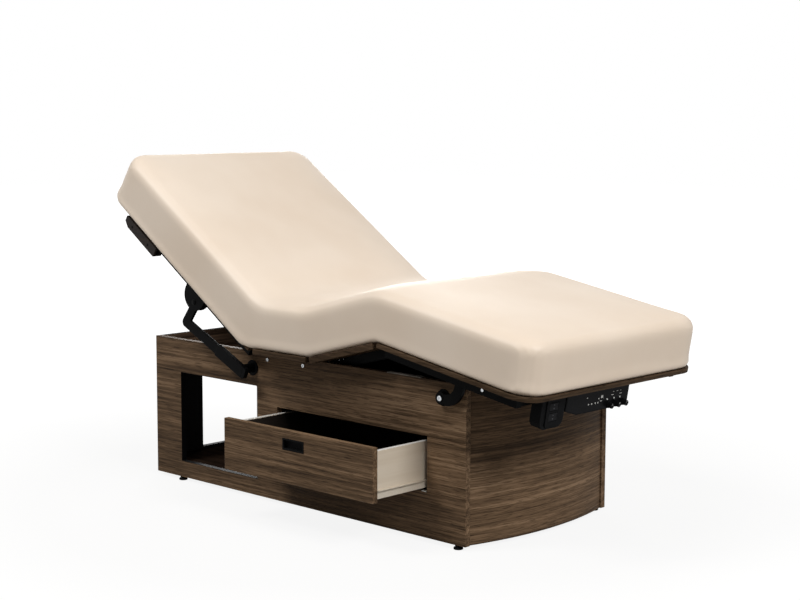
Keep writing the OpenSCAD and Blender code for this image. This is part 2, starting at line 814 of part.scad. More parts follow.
// Half-round bracket plates straddle each bent arm; a pin joins them
bracket_t = 4;
bar_gap = 2;
plate_in_y = -frame_y - frame_rail_w - bracket_t;
bar_y = plate_in_y - bar_gap - bar_t;
plate_out_y = bar_y - bar_gap - bracket_t;
bracket_pin_r = 6;
arm_pin_x = -arm_along;
arm_pin_z = pin_drop + arm_below;
bracket_past = 10;
bracket_rise = 19;
module bracket_plate(y0) slab_xz(y0, bracket_t) difference() {
    translate([arm_pin_x - bracket_past, bracket_rise - arm_pin_z]) intersection() {
        translate([-bracket_r, -bracket_r])
            square([2 * bracket_r, bracket_r + arm_pin_z - bracket_rise - deck_t]);
        union() {
            circle(bracket_r);
            translate([-bracket_r, 0]) square(2 * bracket_r);
        }
    }
    translate([arm_pin_x, -arm_pin_z]) circle(bracket_pin_r);
}
module back_brackets() {
    color(steel_black) at_back() both_sides() {
        bracket_plate(plate_in_y);
        bracket_plate(plate_out_y);
    }
}

pin_head_t = 3;
pin_head_r = 9;
module bracket_pins() {
    color(steel_black) at_back() both_sides() translate([arm_pin_x, 0, -arm_pin_z]) {
        pin_y(bracket_pin_r, plate_out_y, plate_in_y + bracket_t);
        pin_y(pin_head_r, plate_out_y - pin_head_t, plate_out_y);
    }
}

// Blocks outside the rails with a bore each for the legs of a face cradle
cradle_len = 170;
cradle_h = 30;
cradle_w = 32;
cradle_bore_r = 9.6;
cradle_end = 128;
cradle_cut_x = 21;
cradle_cut_z = 12;
cradle_top = back_hem + seat_gap;
cradle_y = frame_y + frame_rail_w + cradle_w / 2;
module cradle_receiver() {
    x0 = -back_len + cradle_end;
    z0 = -cradle_top - cradle_h;
    color(dark_wood) at_back() both_sides() difference() {
        slab_xz(-cradle_y - cradle_w / 2, cradle_w) polygon([
            [x0, -cradle_top], [x0, z0 + cradle_cut_z], [x0 + cradle_cut_x, z0],
            [x0 + cradle_len, z0], [x0 + cradle_len, -cradle_top]
        ]);
        translate([0, -cradle_y, -cradle_top - cradle_h / 2])
            pin_x(cradle_bore_r, x0 - over, x0 + cradle_len + over);
    }
}

// Back arm shaft: torque tube, with the slotted lever that the rod pushes
sleeve_wall = 2.5;
sleeve_t = bar_t + 2 * sleeve_wall;
sleeve_y = bar_y - sleeve_wall;
sleeve_gap = 0.3;
lever_hub_r = 21;
lever_t = 6;
lever_y = 12;
slot_play = 2.2;
lever_rim = 7;

// Lever hanging from a shaft at the origin, turned by lean, with a slot for the rod's pin
module slotted_lever(shaft_r, swing, lean) {
    near = lever_drop - slot_play;
    reach = lever_drop / cos(swing) + slot_play;
    half = rod_pin_r + slot_play;
    for (y0 = [-lever_y - lever_t, lever_y]) slab_xz(y0, lever_t) rotate(lean) difference() {
        union() {
            circle(lever_hub_r);
            translate([-half - lever_rim, -reach]) square([2 * (half + lever_rim), reach]);
            translate([0, -reach]) circle(half + lever_rim);
        }
        translate([0, -near]) circle(half);
        translate([0, -reach]) circle(half);
        translate([-half, -reach]) square([2 * half, reach - near]);
        circle(shaft_r);
    }
}

module back_arm_shaft() {
    color(steel_black) translate([-arm_x, 0, arm_z]) union() {
        pin_y(arm_shaft_r, sleeve_y + sleeve_t, -sleeve_y - sleeve_t);
        translate([0, back_rod_y, 0]) slotted_lever(arm_shaft_r - over, back_swing, -back_lever_rest);
    }
}

sleeve_tail = 16;
module arm_sleeves() {
    slot_w = bar_w + 2 * sleeve_gap;
    color(steel_black) both_sides() translate([-arm_x, 0, arm_z]) difference() {
        slab_xz(sleeve_y, sleeve_t) rotate(-sleeve_angle)
            translate([-sleeve_reach, -sleeve_w / 2]) square([sleeve_reach + sleeve_tail, sleeve_w]);
        slab_xz(bar_y - sleeve_gap, bar_t + 2 * sleeve_gap) rotate(-sleeve_angle)
            translate([-sleeve_reach - over, -slot_w / 2])
                square([sleeve_reach + sleeve_tail - sleeve_wall + over, slot_w]);
    }
}

// Bent arm: a straight tail in the sleeve, a bend, and a short leg up to the bracket
arm_tail = 46;
eye_r = 16;
eye_side_play = 1.3;
slot_lean = 18;
bend = [-arm_x - bend_reach * cos(sleeve_angle), arm_z + bend_reach * sin(sleeve_angle)];
tail = [-arm_x - arm_tail * cos(sleeve_angle), arm_z + arm_tail * sin(sleeve_angle)];
upper = [
    back_x - arm_along * cos(back_angle) - arm_below * sin(back_angle),
    pin_z + arm_along * sin(back_angle) - arm_below * cos(back_angle)
];
slot_dir = 270 - sleeve_angle - slot_lean;
slot_end = upper + slot_run * [cos(slot_dir), sin(slot_dir)];
module bent_arms() {
    color(steel_black) both_sides() slab_xz(bar_y, bar_t) difference() {
        union() {
            bar_2d(tail, bend, bar_w);
            bar_2d(bend, upper, bar_w);
            translate(bend) circle(bar_w / 2);
            translate(upper) circle(eye_r);
        }
        translate(upper) circle(bracket_pin_r + eye_side_play);
        translate(slot_end) circle(bracket_pin_r + eye_side_play);
        bar_2d(upper, slot_end, 2 * (bracket_pin_r + eye_side_play));
    }
}

rod_pin_past = 2;
module lifting_rod(len_x) {
    pin_x(rod_r, 0, len_x);
    block([-rod_block, rod_block], [-rod_block + over, rod_block - over], [-rod_block, rod_block]);
    pin_y(rod_pin_r, -lever_y - lever_t - rod_pin_past, lever_y + lever_t + rod_pin_past);
}
back_rod_len = 150;
leg_rod_len = 110;
module back_rod() {
    color(silver) translate([-arm_x - lever_drop * tan(back_lever_rest), back_rod_y, back_rod_z])
        lifting_rod(back_rod_len);
}
module leg_rod() {
    color(silver) translate([leg_arm_x + lever_drop * tan(leg_swing), leg_rod_y, leg_rod_z])
        mirror([1, 0, 0]) lifting_rod(leg_rod_len);
}

// Thigh section
thigh_rail_y = 250;
module thigh_deck() {
    color(wood) at_thigh()
        block([half_gap, thigh_len - half_gap], [-deck_half, deck_half], [-thigh_deck_t, 0]);
}
module thigh_frame() {
    color(steel_black) at_thigh() union() {
        both_sides()
            block([2 * half_gap, thigh_len - 2 * half_gap], [-thigh_rail_y - frame_rail_w, -thigh_rail_y],
                  [-thigh_deck_t - frame_rail_h, -thigh_deck_t]);
        for (x = [half_gap, thigh_len - half_gap - leaf_len])
            block([x, x + leaf_len], [-thigh_rail_y, thigh_rail_y],
                  [-thigh_deck_t - leaf_t, -thigh_deck_t]);
        hinge_half(1, thigh_deck_t, false);
        translate([thigh_len, 0, 0]) hinge_half(-1, thigh_deck_t, true);
    }
}
module thigh_cushion() {
    color(hide) at_thigh() intersection() {
        pad_block(-pad_past, thigh_len + pad_past, pad_wid / 2, pad_corner_r, pad_t);
        keep_after(0, hip_lean);
        keep_before(thigh_len, 0);
    }
}

// Leg section
leg_frame_y = 325;
leg_rail_short = 60;
leg_rail_len = leg_len - leg_rail_short;
module leg_deck() {
    color(wood) at_leg() translate([0, 0, -leg_deck_t]) linear_extrude(leg_deck_t)
        end_outline(half_gap, leg_len - deck_inset, deck_half, deck_corner_r);
}
leg_cross_share = [0.3, 0.72];
rail_bolt_r = 4.5;
rail_bolt_t = 2;
rail_shank_r = 2.5;
rail_shank = 12;
rail_bolt_x = leg_rail_len * leg_cross_share[1] + cross_flat_w / 2;
rail_bolt_z = -leg_deck_t - frame_rail_h / 2;
module leg_frame() {
    color(steel_black) at_leg() union() {
        both_sides() difference() {
            block([2 * half_gap, leg_rail_len], [-leg_frame_y - frame_rail_w, -leg_frame_y],
                  [-leg_deck_t - frame_rail_h, -leg_deck_t]);
            translate([rail_bolt_x, 0, rail_bolt_z])
                pin_y(rail_shank_r, -leg_frame_y - frame_rail_w - over,
                      -leg_frame_y - frame_rail_w + rail_shank);
        }
        for (x = [leg_rail_len * leg_cross_share[0], leg_rail_len * leg_cross_share[1]])
            block([x, x + cross_flat_w], [-leg_frame_y, leg_frame_y],
                  [-leg_deck_t - leaf_t, -leg_deck_t]);
        block([leg_rail_len - rail_t, leg_rail_len], [-leg_frame_y, leg_frame_y],
              [-leg_deck_t - rail_t, -leg_deck_t]);
        block([half_gap, half_gap + leaf_len], [-leg_frame_y, leg_frame_y],
              [-leg_deck_t - leaf_t, -leg_deck_t]);
        hinge_half(1, leg_deck_t, false);
    }
}
module leg_cushion() {
    color(hide) at_leg() intersection() {
        pad_block(-pad_past, leg_len, pad_wid / 2, pad_corner_r, pad_t);
        keep_after(0, 0);
    }
}

leg_eye_play = 2.5;
leg_pin_r = 5;
leg_arm_gap = 2;
leg_arm_y = near_y - bush_flange_t - leg_arm_gap - leg_arm_t;
module leg_pins() {
    color(silver) at_leg() {
        for (y = hinge_ys) translate([0, y, -pin_drop]) pin_y(pin_r, -hinge_w / 2, hinge_w / 2);
        both_sides() translate([leg_pin_along, 0, -pin_drop - leg_pin_below])
            pin_y(leg_pin_r, -leg_frame_y, leg_arm_y + leg_arm_t + over);
        // Bolts in the rails' outer faces
        both_sides() translate([rail_bolt_x, -leg_frame_y - frame_rail_w, rail_bolt_z]) {
            pin_y(rail_bolt_r, -rail_bolt_t, 0);
            pin_y(rail_shank_r - run_gap, 0, rail_shank - over);
        }
    }
}

// Control box under the foot end
box_y1 = 91;
box_setback = 30;
box_front = leg_len - box_setback;
box_cut_y = 49;
box_cut_z = 15;
box_top = -leg_deck_t - rail_t - seat_gap;
knob_ys = [8, 40, 72];
knob_drop = 56;
knob_z = -leg_deck_t - knob_drop;
spindle_r = 3;
spindle_len = 8;
module control_box() {
    y0 = box_y1 - box_w;
    z1 = -leg_deck_t;
    z0 = z1 - box_h;
    color(plastic_black) at_leg() difference() {
        slab_yz(box_front - box_d, box_d) polygon([
            [y0, z1], [y0, z0 + box_cut_z], [y0 + box_cut_y, z0], [box_y1, z0], [box_y1, z1]
        ]);
        block([0, leg_rail_len + seat_gap], [y0 - over, box_y1 + over], [box_top, 0]);
        for (y = knob_ys) translate([0, y, knob_z])
            pin_x(spindle_r + run_gap, box_front - spindle_len - over, box_front + over);
    }
}

knob_slit = 1.2;
knob_step_share = 0.7;
knob_nose_share = 0.86;
module control_knob(i) {
    color(plastic_black) at_leg() translate([box_front + seat_gap, knob_ys[i], knob_z]) difference() {
        union() {
            pin_x(spindle_r, -spindle_len, over);
            pin_x(knob_r, 0, knob_len * knob_step_share);
            pin_x(knob_r * knob_nose_share, 0, knob_len);
        }
        block([knob_len - knob_slit, knob_len + over], [-knob_slit / 2, knob_slit / 2], [0, knob_r]);
    }
}
module control_knob_1() control_knob(0);
module control_knob_2() control_knob(1);
module control_knob_3() control_knob(2);

light_ys = [0, 29, 55];
light_rise = 16;
light_z = knob_z + light_rise;
light_r = 2.5;
light_h = 1.5;
module indicator_lights() {
    color("white") at_leg() for (y = light_ys)
        translate([box_front, y, light_z]) pin_x(light_r, 0, light_h);
}

// Hand control in its holster
holster_y0 = -279;
holster_w = 97;
holster_h = 88;
holster_d = 34;
holster_r = 24;
holster_wall = 4;
handset_d = 22;
handset_y0 = holster_y0 + (holster_w - handset_w) / 2;
handset_z1 = -leg_deck_t - holster_wall - seat_gap;
handset_r = 9;
module holster_shape() {
    z1 = -leg_deck_t;
    rounded_rect(holster_y0, holster_y0 + holster_w, z1 - holster_h, z1, holster_r);
    translate([holster_y0, z1 - holster_h / 2]) square([holster_w, holster_h / 2]);
}
module handset_shape(grow)
    rounded_rect(handset_y0 - grow, handset_y0 + handset_w + grow,
                 handset_z1 - handset_h - grow, handset_z1 + grow, handset_r + grow);
module handset_holster() {
    color(plastic_black) at_leg() difference() {
        slab_yz(box_front - holster_d, holster_d) holster_shape();
        slab_yz(box_front - handset_d, holster_d) handset_shape(seat_gap);
        block([0, leg_rail_len + seat_gap], [holster_y0 - over, holster_y0 + holster_w + over],
              [box_top, 0]);
    }
}

rocker_w = 34;
rocker_h = 22;
rocker_d = 5;
rocker_drop = [24, 52];
rocker_gap = 0.6;
handset_stand = 3;
handset_front = box_front - seat_gap + handset_stand;
handset_back = box_front - handset_d + seat_gap;
rocker_mid_y = handset_y0 + handset_w / 2;
rocker_pin_r = 1.5;
rocker_pin_past = 2;
rocker_face_share = 0.6;
rocker_dip_share = 0.35;
module handset() {
    color(plastic_black) at_leg() difference() {
        slab_yz(handset_back, handset_front - handset_back) handset_shape(0);
        for (d = rocker_drop)
            block([handset_front - 2 * rocker_d, handset_front + over],
                  [rocker_mid_y - rocker_w / 2 - rocker_gap, rocker_mid_y + rocker_w / 2 + rocker_gap],
                  [handset_z1 - d - rocker_h / 2 - rocker_gap, handset_z1 - d + rocker_h / 2 + rocker_gap]);
        for (d = rocker_drop) translate([handset_front - rocker_d / 2, rocker_mid_y, handset_z1 - d])
            pin_y(rocker_pin_r + run_gap, -rocker_w / 2 - rocker_gap - rocker_pin_past,
                  rocker_w / 2 + rocker_gap + rocker_pin_past);
    }
}
module rocker(d) {
    color("#3a3a3c") at_leg() translate([handset_front - rocker_d / 2, rocker_mid_y, handset_z1 - d]) {
        slab_xz(-rocker_w / 2, rocker_w) polygon([
            [-rocker_d / 2, -rocker_h / 2 + over], [rocker_d * rocker_face_share, -rocker_h / 2 + over],
            [rocker_d * rocker_dip_share, 0], [rocker_d * rocker_face_share, rocker_h / 2 - over],
            [-rocker_d / 2, rocker_h / 2 - over], [-rocker_d, 0]
        ]);
        pin_y(rocker_pin_r, -rocker_w / 2 - rocker_pin_past, rocker_w / 2 + rocker_pin_past);
    }
}
module back_rocker() rocker(rocker_drop[0]);
module leg_rocker() rocker(rocker_drop[1]);

// Leg arms: curved plates on a shaft across the cabinet
module leg_arm_shaft() {
    color(steel_black) translate([leg_arm_x, 0, leg_arm_z]) union() {
        pin_y(leg_shaft_r, leg_arm_y + leg_arm_t, -leg_arm_y - leg_arm_t);
        translate([0, leg_rod_y, 0]) slotted_lever(leg_shaft_r - over, leg_swing, leg_swing);
    }
}

leg_pin_at = [
    knee_x + leg_pin_along * cos(leg_angle) - leg_pin_below * sin(leg_angle),
    knee_z - leg_pin_along * sin(leg_angle) - leg_pin_below * cos(leg_angle)
];
leg_arm_at = [leg_arm_x, leg_arm_z];
leg_arm_sag_share = 0.32;
leg_arm_boss_r = 17;
leg_arm_run_share = 1.05;

// A curved arm: the slice of a ring that passes through both of its pivots
module curved_arm_2d() {
    chord = norm(leg_pin_at - leg_arm_at);
    dir = (leg_pin_at - leg_arm_at) / chord;
    out = [dir[1], -dir[0]];
    sag = chord * leg_arm_sag_share;
    r = (chord * chord / 4 + sag * sag) / (2 * sag);
    mid = (leg_arm_at + leg_pin_at) / 2 + out * (sag - r);
    difference() {
        intersection() {
            translate(mid) difference() {
                circle(r + leg_arm_w / 2, $fn = fine_fn);
                circle(r - leg_arm_w / 2, $fn = fine_fn);
            }
            translate(leg_arm_at) rotate(atan2(dir[1], dir[0])) translate([0, -chord])
                square([chord, chord * leg_arm_run_share]);
        }
        translate(leg_pin_at) circle(leg_pin_r + leg_eye_play);
    }
    translate(leg_arm_at) circle(leg_arm_boss_r);
    translate(leg_pin_at) difference() {
        circle(leg_arm_w / 2);
        circle(leg_pin_r + leg_eye_play);
    }
}
module leg_arms() color(steel_black) both_sides() slab_xz(leg_arm_y, leg_arm_t) curved_arm_2d();

leg_bolt_r = 10;
module leg_arm_bolts() {
    color(silver) both_sides() translate([leg_arm_x, leg_arm_y, leg_arm_z]) difference() {
        pin_y(leg_bolt_r, -bolt_head_t, 0);
        rotate([90, 0, 0]) translate([0, 0, bolt_head_t / 2])
            cylinder(r = socket_r, h = bolt_head_t, $fn = 6);
    }
}

// Drawer
front_x0 = drawer_x0 + drawer_reveal;
front_x1 = drawer_x1 - drawer_reveal;
front_z0 = drawer_sill + drawer_reveal;
front_z1 = drawer_head - drawer_reveal;
front_y = near_y - drawer_out;
box_x0 = drawer_x0 + slide_space;
box_x1 = drawer_x1 - slide_space;
box_z0 = slide_z0;
pull_x = 205;
pull_z = 249.5;
pull_depth = 12;
pull_rim = 2.5;
pull_flange = 1.2;

module drawer_front() {
    color(wood) difference() {
        block([front_x0, front_x1], [front_y, front_y + board_t], [front_z0, front_z1]);
        block([pull_x - pull_w / 2 + pull_rim, pull_x + pull_w / 2 - pull_rim],
              [front_y - over, front_y + pull_depth],
              [pull_z - pull_h / 2 + pull_rim, pull_z + pull_h / 2 - pull_rim]);
    }
}
module drawer_pull() {
    x0 = pull_x - pull_w / 2;
    x1 = pull_x + pull_w / 2;
    z0 = pull_z - pull_h / 2;
    z1 = pull_z + pull_h / 2;
    color(plastic_black) difference() {
        union() {
            block([x0, x1], [front_y - pull_flange, front_y], [z0, z1]);
            block([x0 + pull_rim, x1 - pull_rim], [front_y - pull_flange, front_y + pull_depth],
                  [z0 + pull_rim, z1 - pull_rim]);
        }
        block([x0 + 2 * pull_rim, x1 - 2 * pull_rim],
              [front_y - pull_flange - over, front_y + pull_depth - pull_flange],
              [z0 + 2 * pull_rim, z1 - 2 * pull_rim]);
    }
}
base_lift = 8;
base_z = box_z0 + base_lift;
groove = 5;
module drawer_walls() {
    y0 = front_y + board_t;
    y1 = y0 + drawer_depth;
    color(cream) {
        difference() {
            both_slides() block([box_x1 - drawer_wall, box_x1], [y0, y1], [box_z0, box_z0 + drawer_box_h]);
            block([box_x0 + drawer_wall - groove, box_x1 - drawer_wall + groove], [y0 - over, y1 + over],
                  [base_z, base_z + drawer_base_t]);
        }
        block([box_x0 + drawer_wall, box_x1 - drawer_wall], [y1 - drawer_wall, y1],
              [base_z + drawer_base_t, box_z0 + drawer_box_h]);
    }
}
module drawer_bottom() {
    y0 = front_y + board_t;
    color(dark_wood)
        block([box_x0 + drawer_wall - groove, box_x1 - drawer_wall + groove], [y0, y0 + drawer_depth],
              [base_z, base_z + drawer_base_t]);
}
slide_setback = 8;
drawer_back_y = front_y + board_t + drawer_depth;
roller_back_y = drawer_back_y - roller_r - over;
module slide_drawer_rails() {
    y0 = front_y + board_t + slide_setback;
    y1 = drawer_back_y;
    lip = slide_space - slide_web - 2 * seat_gap;
    color(cream) both_slides() {
        union() {
            block([box_x1, box_x1 + slide_web], [y0, y1], [box_z0 - slide_web, lip_z + slide_web]);
            block([box_x1 - drawer_wall, box_x1 + slide_web], [y0, y1], [box_z0 - slide_web, box_z0]);
            block([box_x1, box_x1 + lip - slide_web], [y0, y1 - 3 * roller_r], [lip_z, lip_z + slide_web]);
            translate([0, roller_back_y, roller_z])
                pin_x(axle_r, box_x1 + slide_web / 2, box_x1 + slide_web + seat_gap + roller_w);
        }
    }
}
module slide_rear_rollers() {
    color("white") both_slides() translate([0, roller_back_y, roller_z]) difference() {
        pin_x(roller_r, box_x1 + slide_web + seat_gap, box_x1 + slide_web + seat_gap + roller_w);
        pin_x(axle_r + run_gap, box_x1, box_x1 + slide_space);
    }
}

near_side_panel();
far_side_panel();
head_panel();
foot_panel();
floor_panel();
top_shelf();
shelf_edge_strip();
partition_panel();
drawer_divider();
machine_deck();
levelling_glides();
shaft_bushes();
seat_frame();
frame_bolts();
seat_deck();
seat_cushion();
hinge_pins();
leg_rest_strips();
mains_inlet();
back_actuator();
leg_actuator();
actuator_saddles();
slide_cabinet_rails();
slide_front_rollers();
back_deck();
back_frame();
back_cushion();
back_brackets();
bracket_pins();
cradle_receiver();
back_arm_shaft();
arm_sleeves();
bent_arms();
back_rod();
thigh_deck();
thigh_frame();
thigh_cushion();
leg_deck();
leg_frame();
leg_cushion();
leg_pins();
control_box();
control_knob_1();
control_knob_2();
control_knob_3();
indicator_lights();
handset_holster();
handset();
back_rocker();
leg_rocker();
leg_arm_shaft();
leg_arms();
leg_arm_bolts();
leg_rod();
drawer_front();
drawer_pull();
drawer_walls();
drawer_bottom();
slide_drawer_rails();
slide_rear_rollers();
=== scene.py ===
import json
import math

import bmesh
import bpy
import numpy as np
from mathutils import Matrix, Vector


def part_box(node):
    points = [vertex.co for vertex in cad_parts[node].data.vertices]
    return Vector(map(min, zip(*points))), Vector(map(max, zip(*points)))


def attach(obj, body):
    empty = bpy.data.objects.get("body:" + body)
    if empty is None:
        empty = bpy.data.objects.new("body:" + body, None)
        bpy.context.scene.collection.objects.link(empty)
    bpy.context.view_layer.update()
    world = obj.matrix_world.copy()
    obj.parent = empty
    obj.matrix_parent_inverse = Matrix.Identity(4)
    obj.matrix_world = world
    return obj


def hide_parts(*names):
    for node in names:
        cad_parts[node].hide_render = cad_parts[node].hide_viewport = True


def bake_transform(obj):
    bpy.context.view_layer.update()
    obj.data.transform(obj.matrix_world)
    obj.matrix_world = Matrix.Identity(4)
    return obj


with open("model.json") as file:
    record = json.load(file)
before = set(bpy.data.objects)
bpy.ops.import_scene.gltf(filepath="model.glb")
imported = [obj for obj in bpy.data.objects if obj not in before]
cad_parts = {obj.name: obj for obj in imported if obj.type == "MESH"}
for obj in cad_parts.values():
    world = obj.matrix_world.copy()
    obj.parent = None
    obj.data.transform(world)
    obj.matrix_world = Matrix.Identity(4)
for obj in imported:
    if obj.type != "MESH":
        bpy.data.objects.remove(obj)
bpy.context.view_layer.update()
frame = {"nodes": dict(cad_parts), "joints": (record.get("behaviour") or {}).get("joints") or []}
hinge_at = {j["name"]: Vector(j["pos_m"]) for j in frame["joints"] if "pos_m" in j}


# Studio
# A photographer's pale sweep under four soft lamps. The background is white to the camera
# and to reflections, and the floor keeps a faint shadow of the bed.
def linear(hex_colour):
    """sRGB hex to the linear RGBA that the shaders use."""
    parts = [int(hex_colour[i:i + 2], 16) / 255 for i in (1, 3, 5)]
    return tuple(p / 12.92 if p <= 0.04045 else ((p + 0.055) / 1.055) ** 2.4 for p in parts) + (1.0,)


def add(tree, kind, inputs=(), stops=(), feeds=None, **settings):
    """Adds a shader node. An input is a value or the socket that feeds it, stops are a colour
    ramp's (position, hex) marks, and feeds is a socket that the first output goes to."""
    made = tree.nodes.new("ShaderNode" + kind)
    for key, value in settings.items():
        setattr(made, key, value)
    for key, value in dict(inputs).items():
        if isinstance(value, bpy.types.NodeSocket):
            tree.links.new(value, made.inputs[key])
        else:
            made.inputs[key].default_value = value
    if stops:
        marks = made.color_ramp.elements
        while len(marks) < len(stops):
            marks.new(0.5)
        for mark, (position, colour) in zip(marks, stops):
            mark.position = position
            mark.color = linear(colour)
    if feeds:
        tree.links.new(made.outputs[0], feeds)
    return made


def in_scene(name, made):
    """Turns a finished shape into an object in the scene."""
    data = bpy.data.meshes.new(name)
    made.to_mesh(data)
    made.free()
    placed = bpy.data.objects.new(name, data)
    bpy.context.scene.collection.objects.link(placed)
    return placed


world = bpy.data.worlds.new("pale_studio")
bpy.context.scene.world = world
world.use_nodes = True
sky = world.node_tree
sky.nodes.clear()
ray = add(sky, "LightPath").outputs
seen = add(sky, "Math", {0: ray["Is Camera Ray"], 1: ray["Is Glossy Ray"]}, operation="MAXIMUM")
seen = add(sky, "Math", {0: seen.outputs[0], 1: ray["Is Transmission Ray"]}, operation="MAXIMUM")
soft_fill = add(sky, "Background", {"Color": linear("#ffffff"), "Strength": 0.07})
white_back = add(sky, "Background", {"Color": linear("#ffffff"), "Strength": 1.0})
sky_mix = add(sky, "MixShader", {0: seen.outputs[0], 1: soft_fill.outputs[0], 2: white_back.outputs[0]})
add(sky, "OutputWorld", {"Surface": sky_mix.outputs[0]})

floor_half = 16.0
floor_mesh = bmesh.new()
bmesh.ops.create_grid(floor_mesh, x_segments=1, y_segments=1, size=floor_half)
floor = in_scene("studio_floor", floor_mesh)

floor_paint = bpy.data.materials.new("white_sweep")
floor_paint.use_nodes = True
paint = floor_paint.node_tree
paint.nodes.clear()
ray = add(paint, "LightPath").outputs
paint_gloss = add(paint, "Math", {0: ray["Is Camera Ray"], 1: ray["Is Glossy Ray"]}, operation="MAXIMUM")
from_middle = add(paint, "VectorMath", {0: add(paint, "TexCoord").outputs["Object"]}, operation="LENGTH")
# The floor is nearly white round the bed and wholly white from 4 m out.
fade = {"From Min": 1.0, "From Max": 4.0, "To Min": 0.74, "To Max": 1.0}
to_rim = add(paint, "MapRange", {"Value": from_middle.outputs["Value"], **fade})
paint_seen = add(paint, "Math", {0: paint_gloss.outputs[0], 1: to_rim.outputs[0]}, operation="MULTIPLY")
paint_matte = add(paint, "BsdfDiffuse", {"Color": linear("#a8a6a3")})
paint_white = add(paint, "Emission", {"Color": linear("#ffffff"), "Strength": 1.2})
paints = {0: paint_seen.outputs[0], 1: paint_matte.outputs[0], 2: paint_white.outputs[0]}
add(paint, "OutputMaterial", {"Surface": add(paint, "MixShader", paints).outputs[0]})
floor.data.materials.append(floor_paint)


def softbox(name, place, aim, size, watts):
    """A square area lamp that points at aim."""
    lamp = bpy.data.lights.new(name, "AREA")
    lamp.size = size
    lamp.energy = watts
    holder = bpy.data.objects.new(name, lamp)
    holder.location = place
    holder.rotation_euler = (Vector(aim) - Vector(place)).to_track_quat("-Z", "Y").to_euler()
    bpy.context.scene.collection.objects.link(holder)


softbox("overhead_softbox", (0.3, -0.2, 4.2), (0.0, 0.0, 0.4), 2.4, 20)
softbox("near_side_softbox", (-1.2, -3.2, 4.4), (-0.2, -0.3, 0.3), 1.6, 118)
softbox("foot_end_softbox", (4.2, -0.8, 3.4), (0.65, 0.0, 0.3), 1.6, 138)
# A low lamp behind the head end shows the far sides, which the others leave dark.
softbox("far_head_softbox", (-3.2, 3.0, 1.5), (-0.2, 0.0, 0.45), 1.8, 60)

# The camera stands where the photograph was taken from: off the foot end's near corner,
# a little above the mattress, with a lens of about 74 mm on a 36 mm sensor.
camera = bpy.data.objects.new("studio_camera", bpy.data.cameras.new("studio_camera"))
bpy.context.scene.collection.objects.link(camera)
bpy.context.scene.camera = camera
camera.data.sensor_width = 36
camera.data.lens = 73.977
camera.data.clip_end = 100
camera.location = (3.4387, -3.4766, 1.1799)
camera_yaw, camera_pitch, camera_roll = map(math.radians, (43.6817, 6.9131, 0.1882))
camera.rotation_euler = (
    Matrix.Rotation(camera_yaw, 3, "Z")
    @ Matrix.Rotation(math.pi / 2 - camera_pitch, 3, "X")
    @ Matrix.Rotation(camera_roll, 3, "Z")
).to_euler()
bpy.context.scene.view_settings.view_transform = "Standard"


# Side panels
# Two 18 mm boards of MDF faced with oiled walnut veneer stand on edge and carry the bed.
# The leg-room cutout and the drawer opening are routed, and every arris is sanded round.
def new_material(name, roughness=0.5, gloss=0.5):
    """A material whose principled shader is joined to its output, and the socket that gives
    each point's place in metres."""
    made = bpy.data.materials.new(name)
    made.use_nodes = True
    tree = made.node_tree
    tree.nodes.clear()
    shader = add(tree, "BsdfPrincipled", {"Roughness": roughness, "Specular IOR Level": gloss})
    add(tree, "OutputMaterial", {"Surface": shader.outputs[0]})
    return made, tree, shader, add(tree, "TexCoord").outputs["Object"]


def mottled(name, scale, detail, low, high, roughness=0.5, gloss=0.5, relief=None):
    """A material with a fine mottle between two (position, hex) stops; relief is the
    strength and depth of a bump that follows it."""
    made, tree, shader, where = new_material(name, roughness, gloss)
    mottle = add(tree, "TexNoise", {"Vector": where, "Scale": scale, "Detail": detail}).outputs["Fac"]
    add(tree, "ValToRGB", {"Fac": mottle}, (low, high), shader.inputs["Base Color"])
    if relief:
        bump = {"Height": mottle, "Strength": relief[0], "Distance": relief[1]}
        add(tree, "Bump", bump, feeds=shader.inputs["Normal"])
    return made


def grown_noise(tree, where, period_mm, along, axes, detail=2.0, warp=0.0):
    """Noise that repeats about every period_mm across the grain and is drawn out along axes."""
    per_metre = 1000 / period_mm
    scale = [per_metre * (along if axis in axes else 1) for axis in range(3)]
    placed = add(tree, "Mapping", {"Vector": where, "Scale": scale}).outputs[0]
    made = add(tree, "TexNoise", {"Vector": placed, "Scale": 1.0, "Detail": detail, "Distortion": warp})
    return made.outputs["Fac"]


def veneer(name, axes, stops, gloss=0.06):
    """Oiled walnut veneer: sliced, so the figure runs straight along the board. It gives dark
    and light bands 10 to 60 mm wide, fine streaks and short dark pores under a dull sheen.
    The pores are drawn 1.8 mm apart, twice as coarse as real ones, so that they show."""
    made, tree, shader, where = new_material(name, roughness=0.55, gloss=gloss)
    band = grown_noise(tree, where, 58, 0.035, axes, 2.0, 0.4)
    streak = grown_noise(tree, where, 9, 0.018, axes, 4.0, 0.15)
    fine = grown_noise(tree, where, 3.4, 0.02, axes, 3.0)
    wide = add(tree, "Math", {0: band, 1: 0.34}, operation="MULTIPLY")
    wide = add(tree, "Math", {0: streak, 1: 0.42, 2: wide.outputs[0]}, operation="MULTIPLY_ADD")
    wide = add(tree, "Math", {0: fine, 1: 0.24, 2: wide.outputs[0]}, operation="MULTIPLY_ADD")
    figure = add(tree, "ValToRGB", {"Fac": wide.outputs[0]}, stops).outputs["Color"]
    pore = grown_noise(tree, where, 1.8, 0.04, axes, 2.0)
    pit_stops = ((0.38, "#5a524b"), (0.47, "#ffffff"))
    pits = add(tree, "ValToRGB", {"Fac": pore}, pit_stops).outputs["Color"]
    grained = add(tree, "Mix", {0: 0.6, 6: figure, 7: pits}, data_type="RGBA", blend_type="MULTIPLY")
    tree.links.new(grained.outputs[2], shader.inputs["Base Color"])
    pit_bump = {"Height": pore, "Strength": 0.10, "Distance": 0.0004}
    add(tree, "Bump", pit_bump, feeds=shader.inputs["Normal"])
    return made


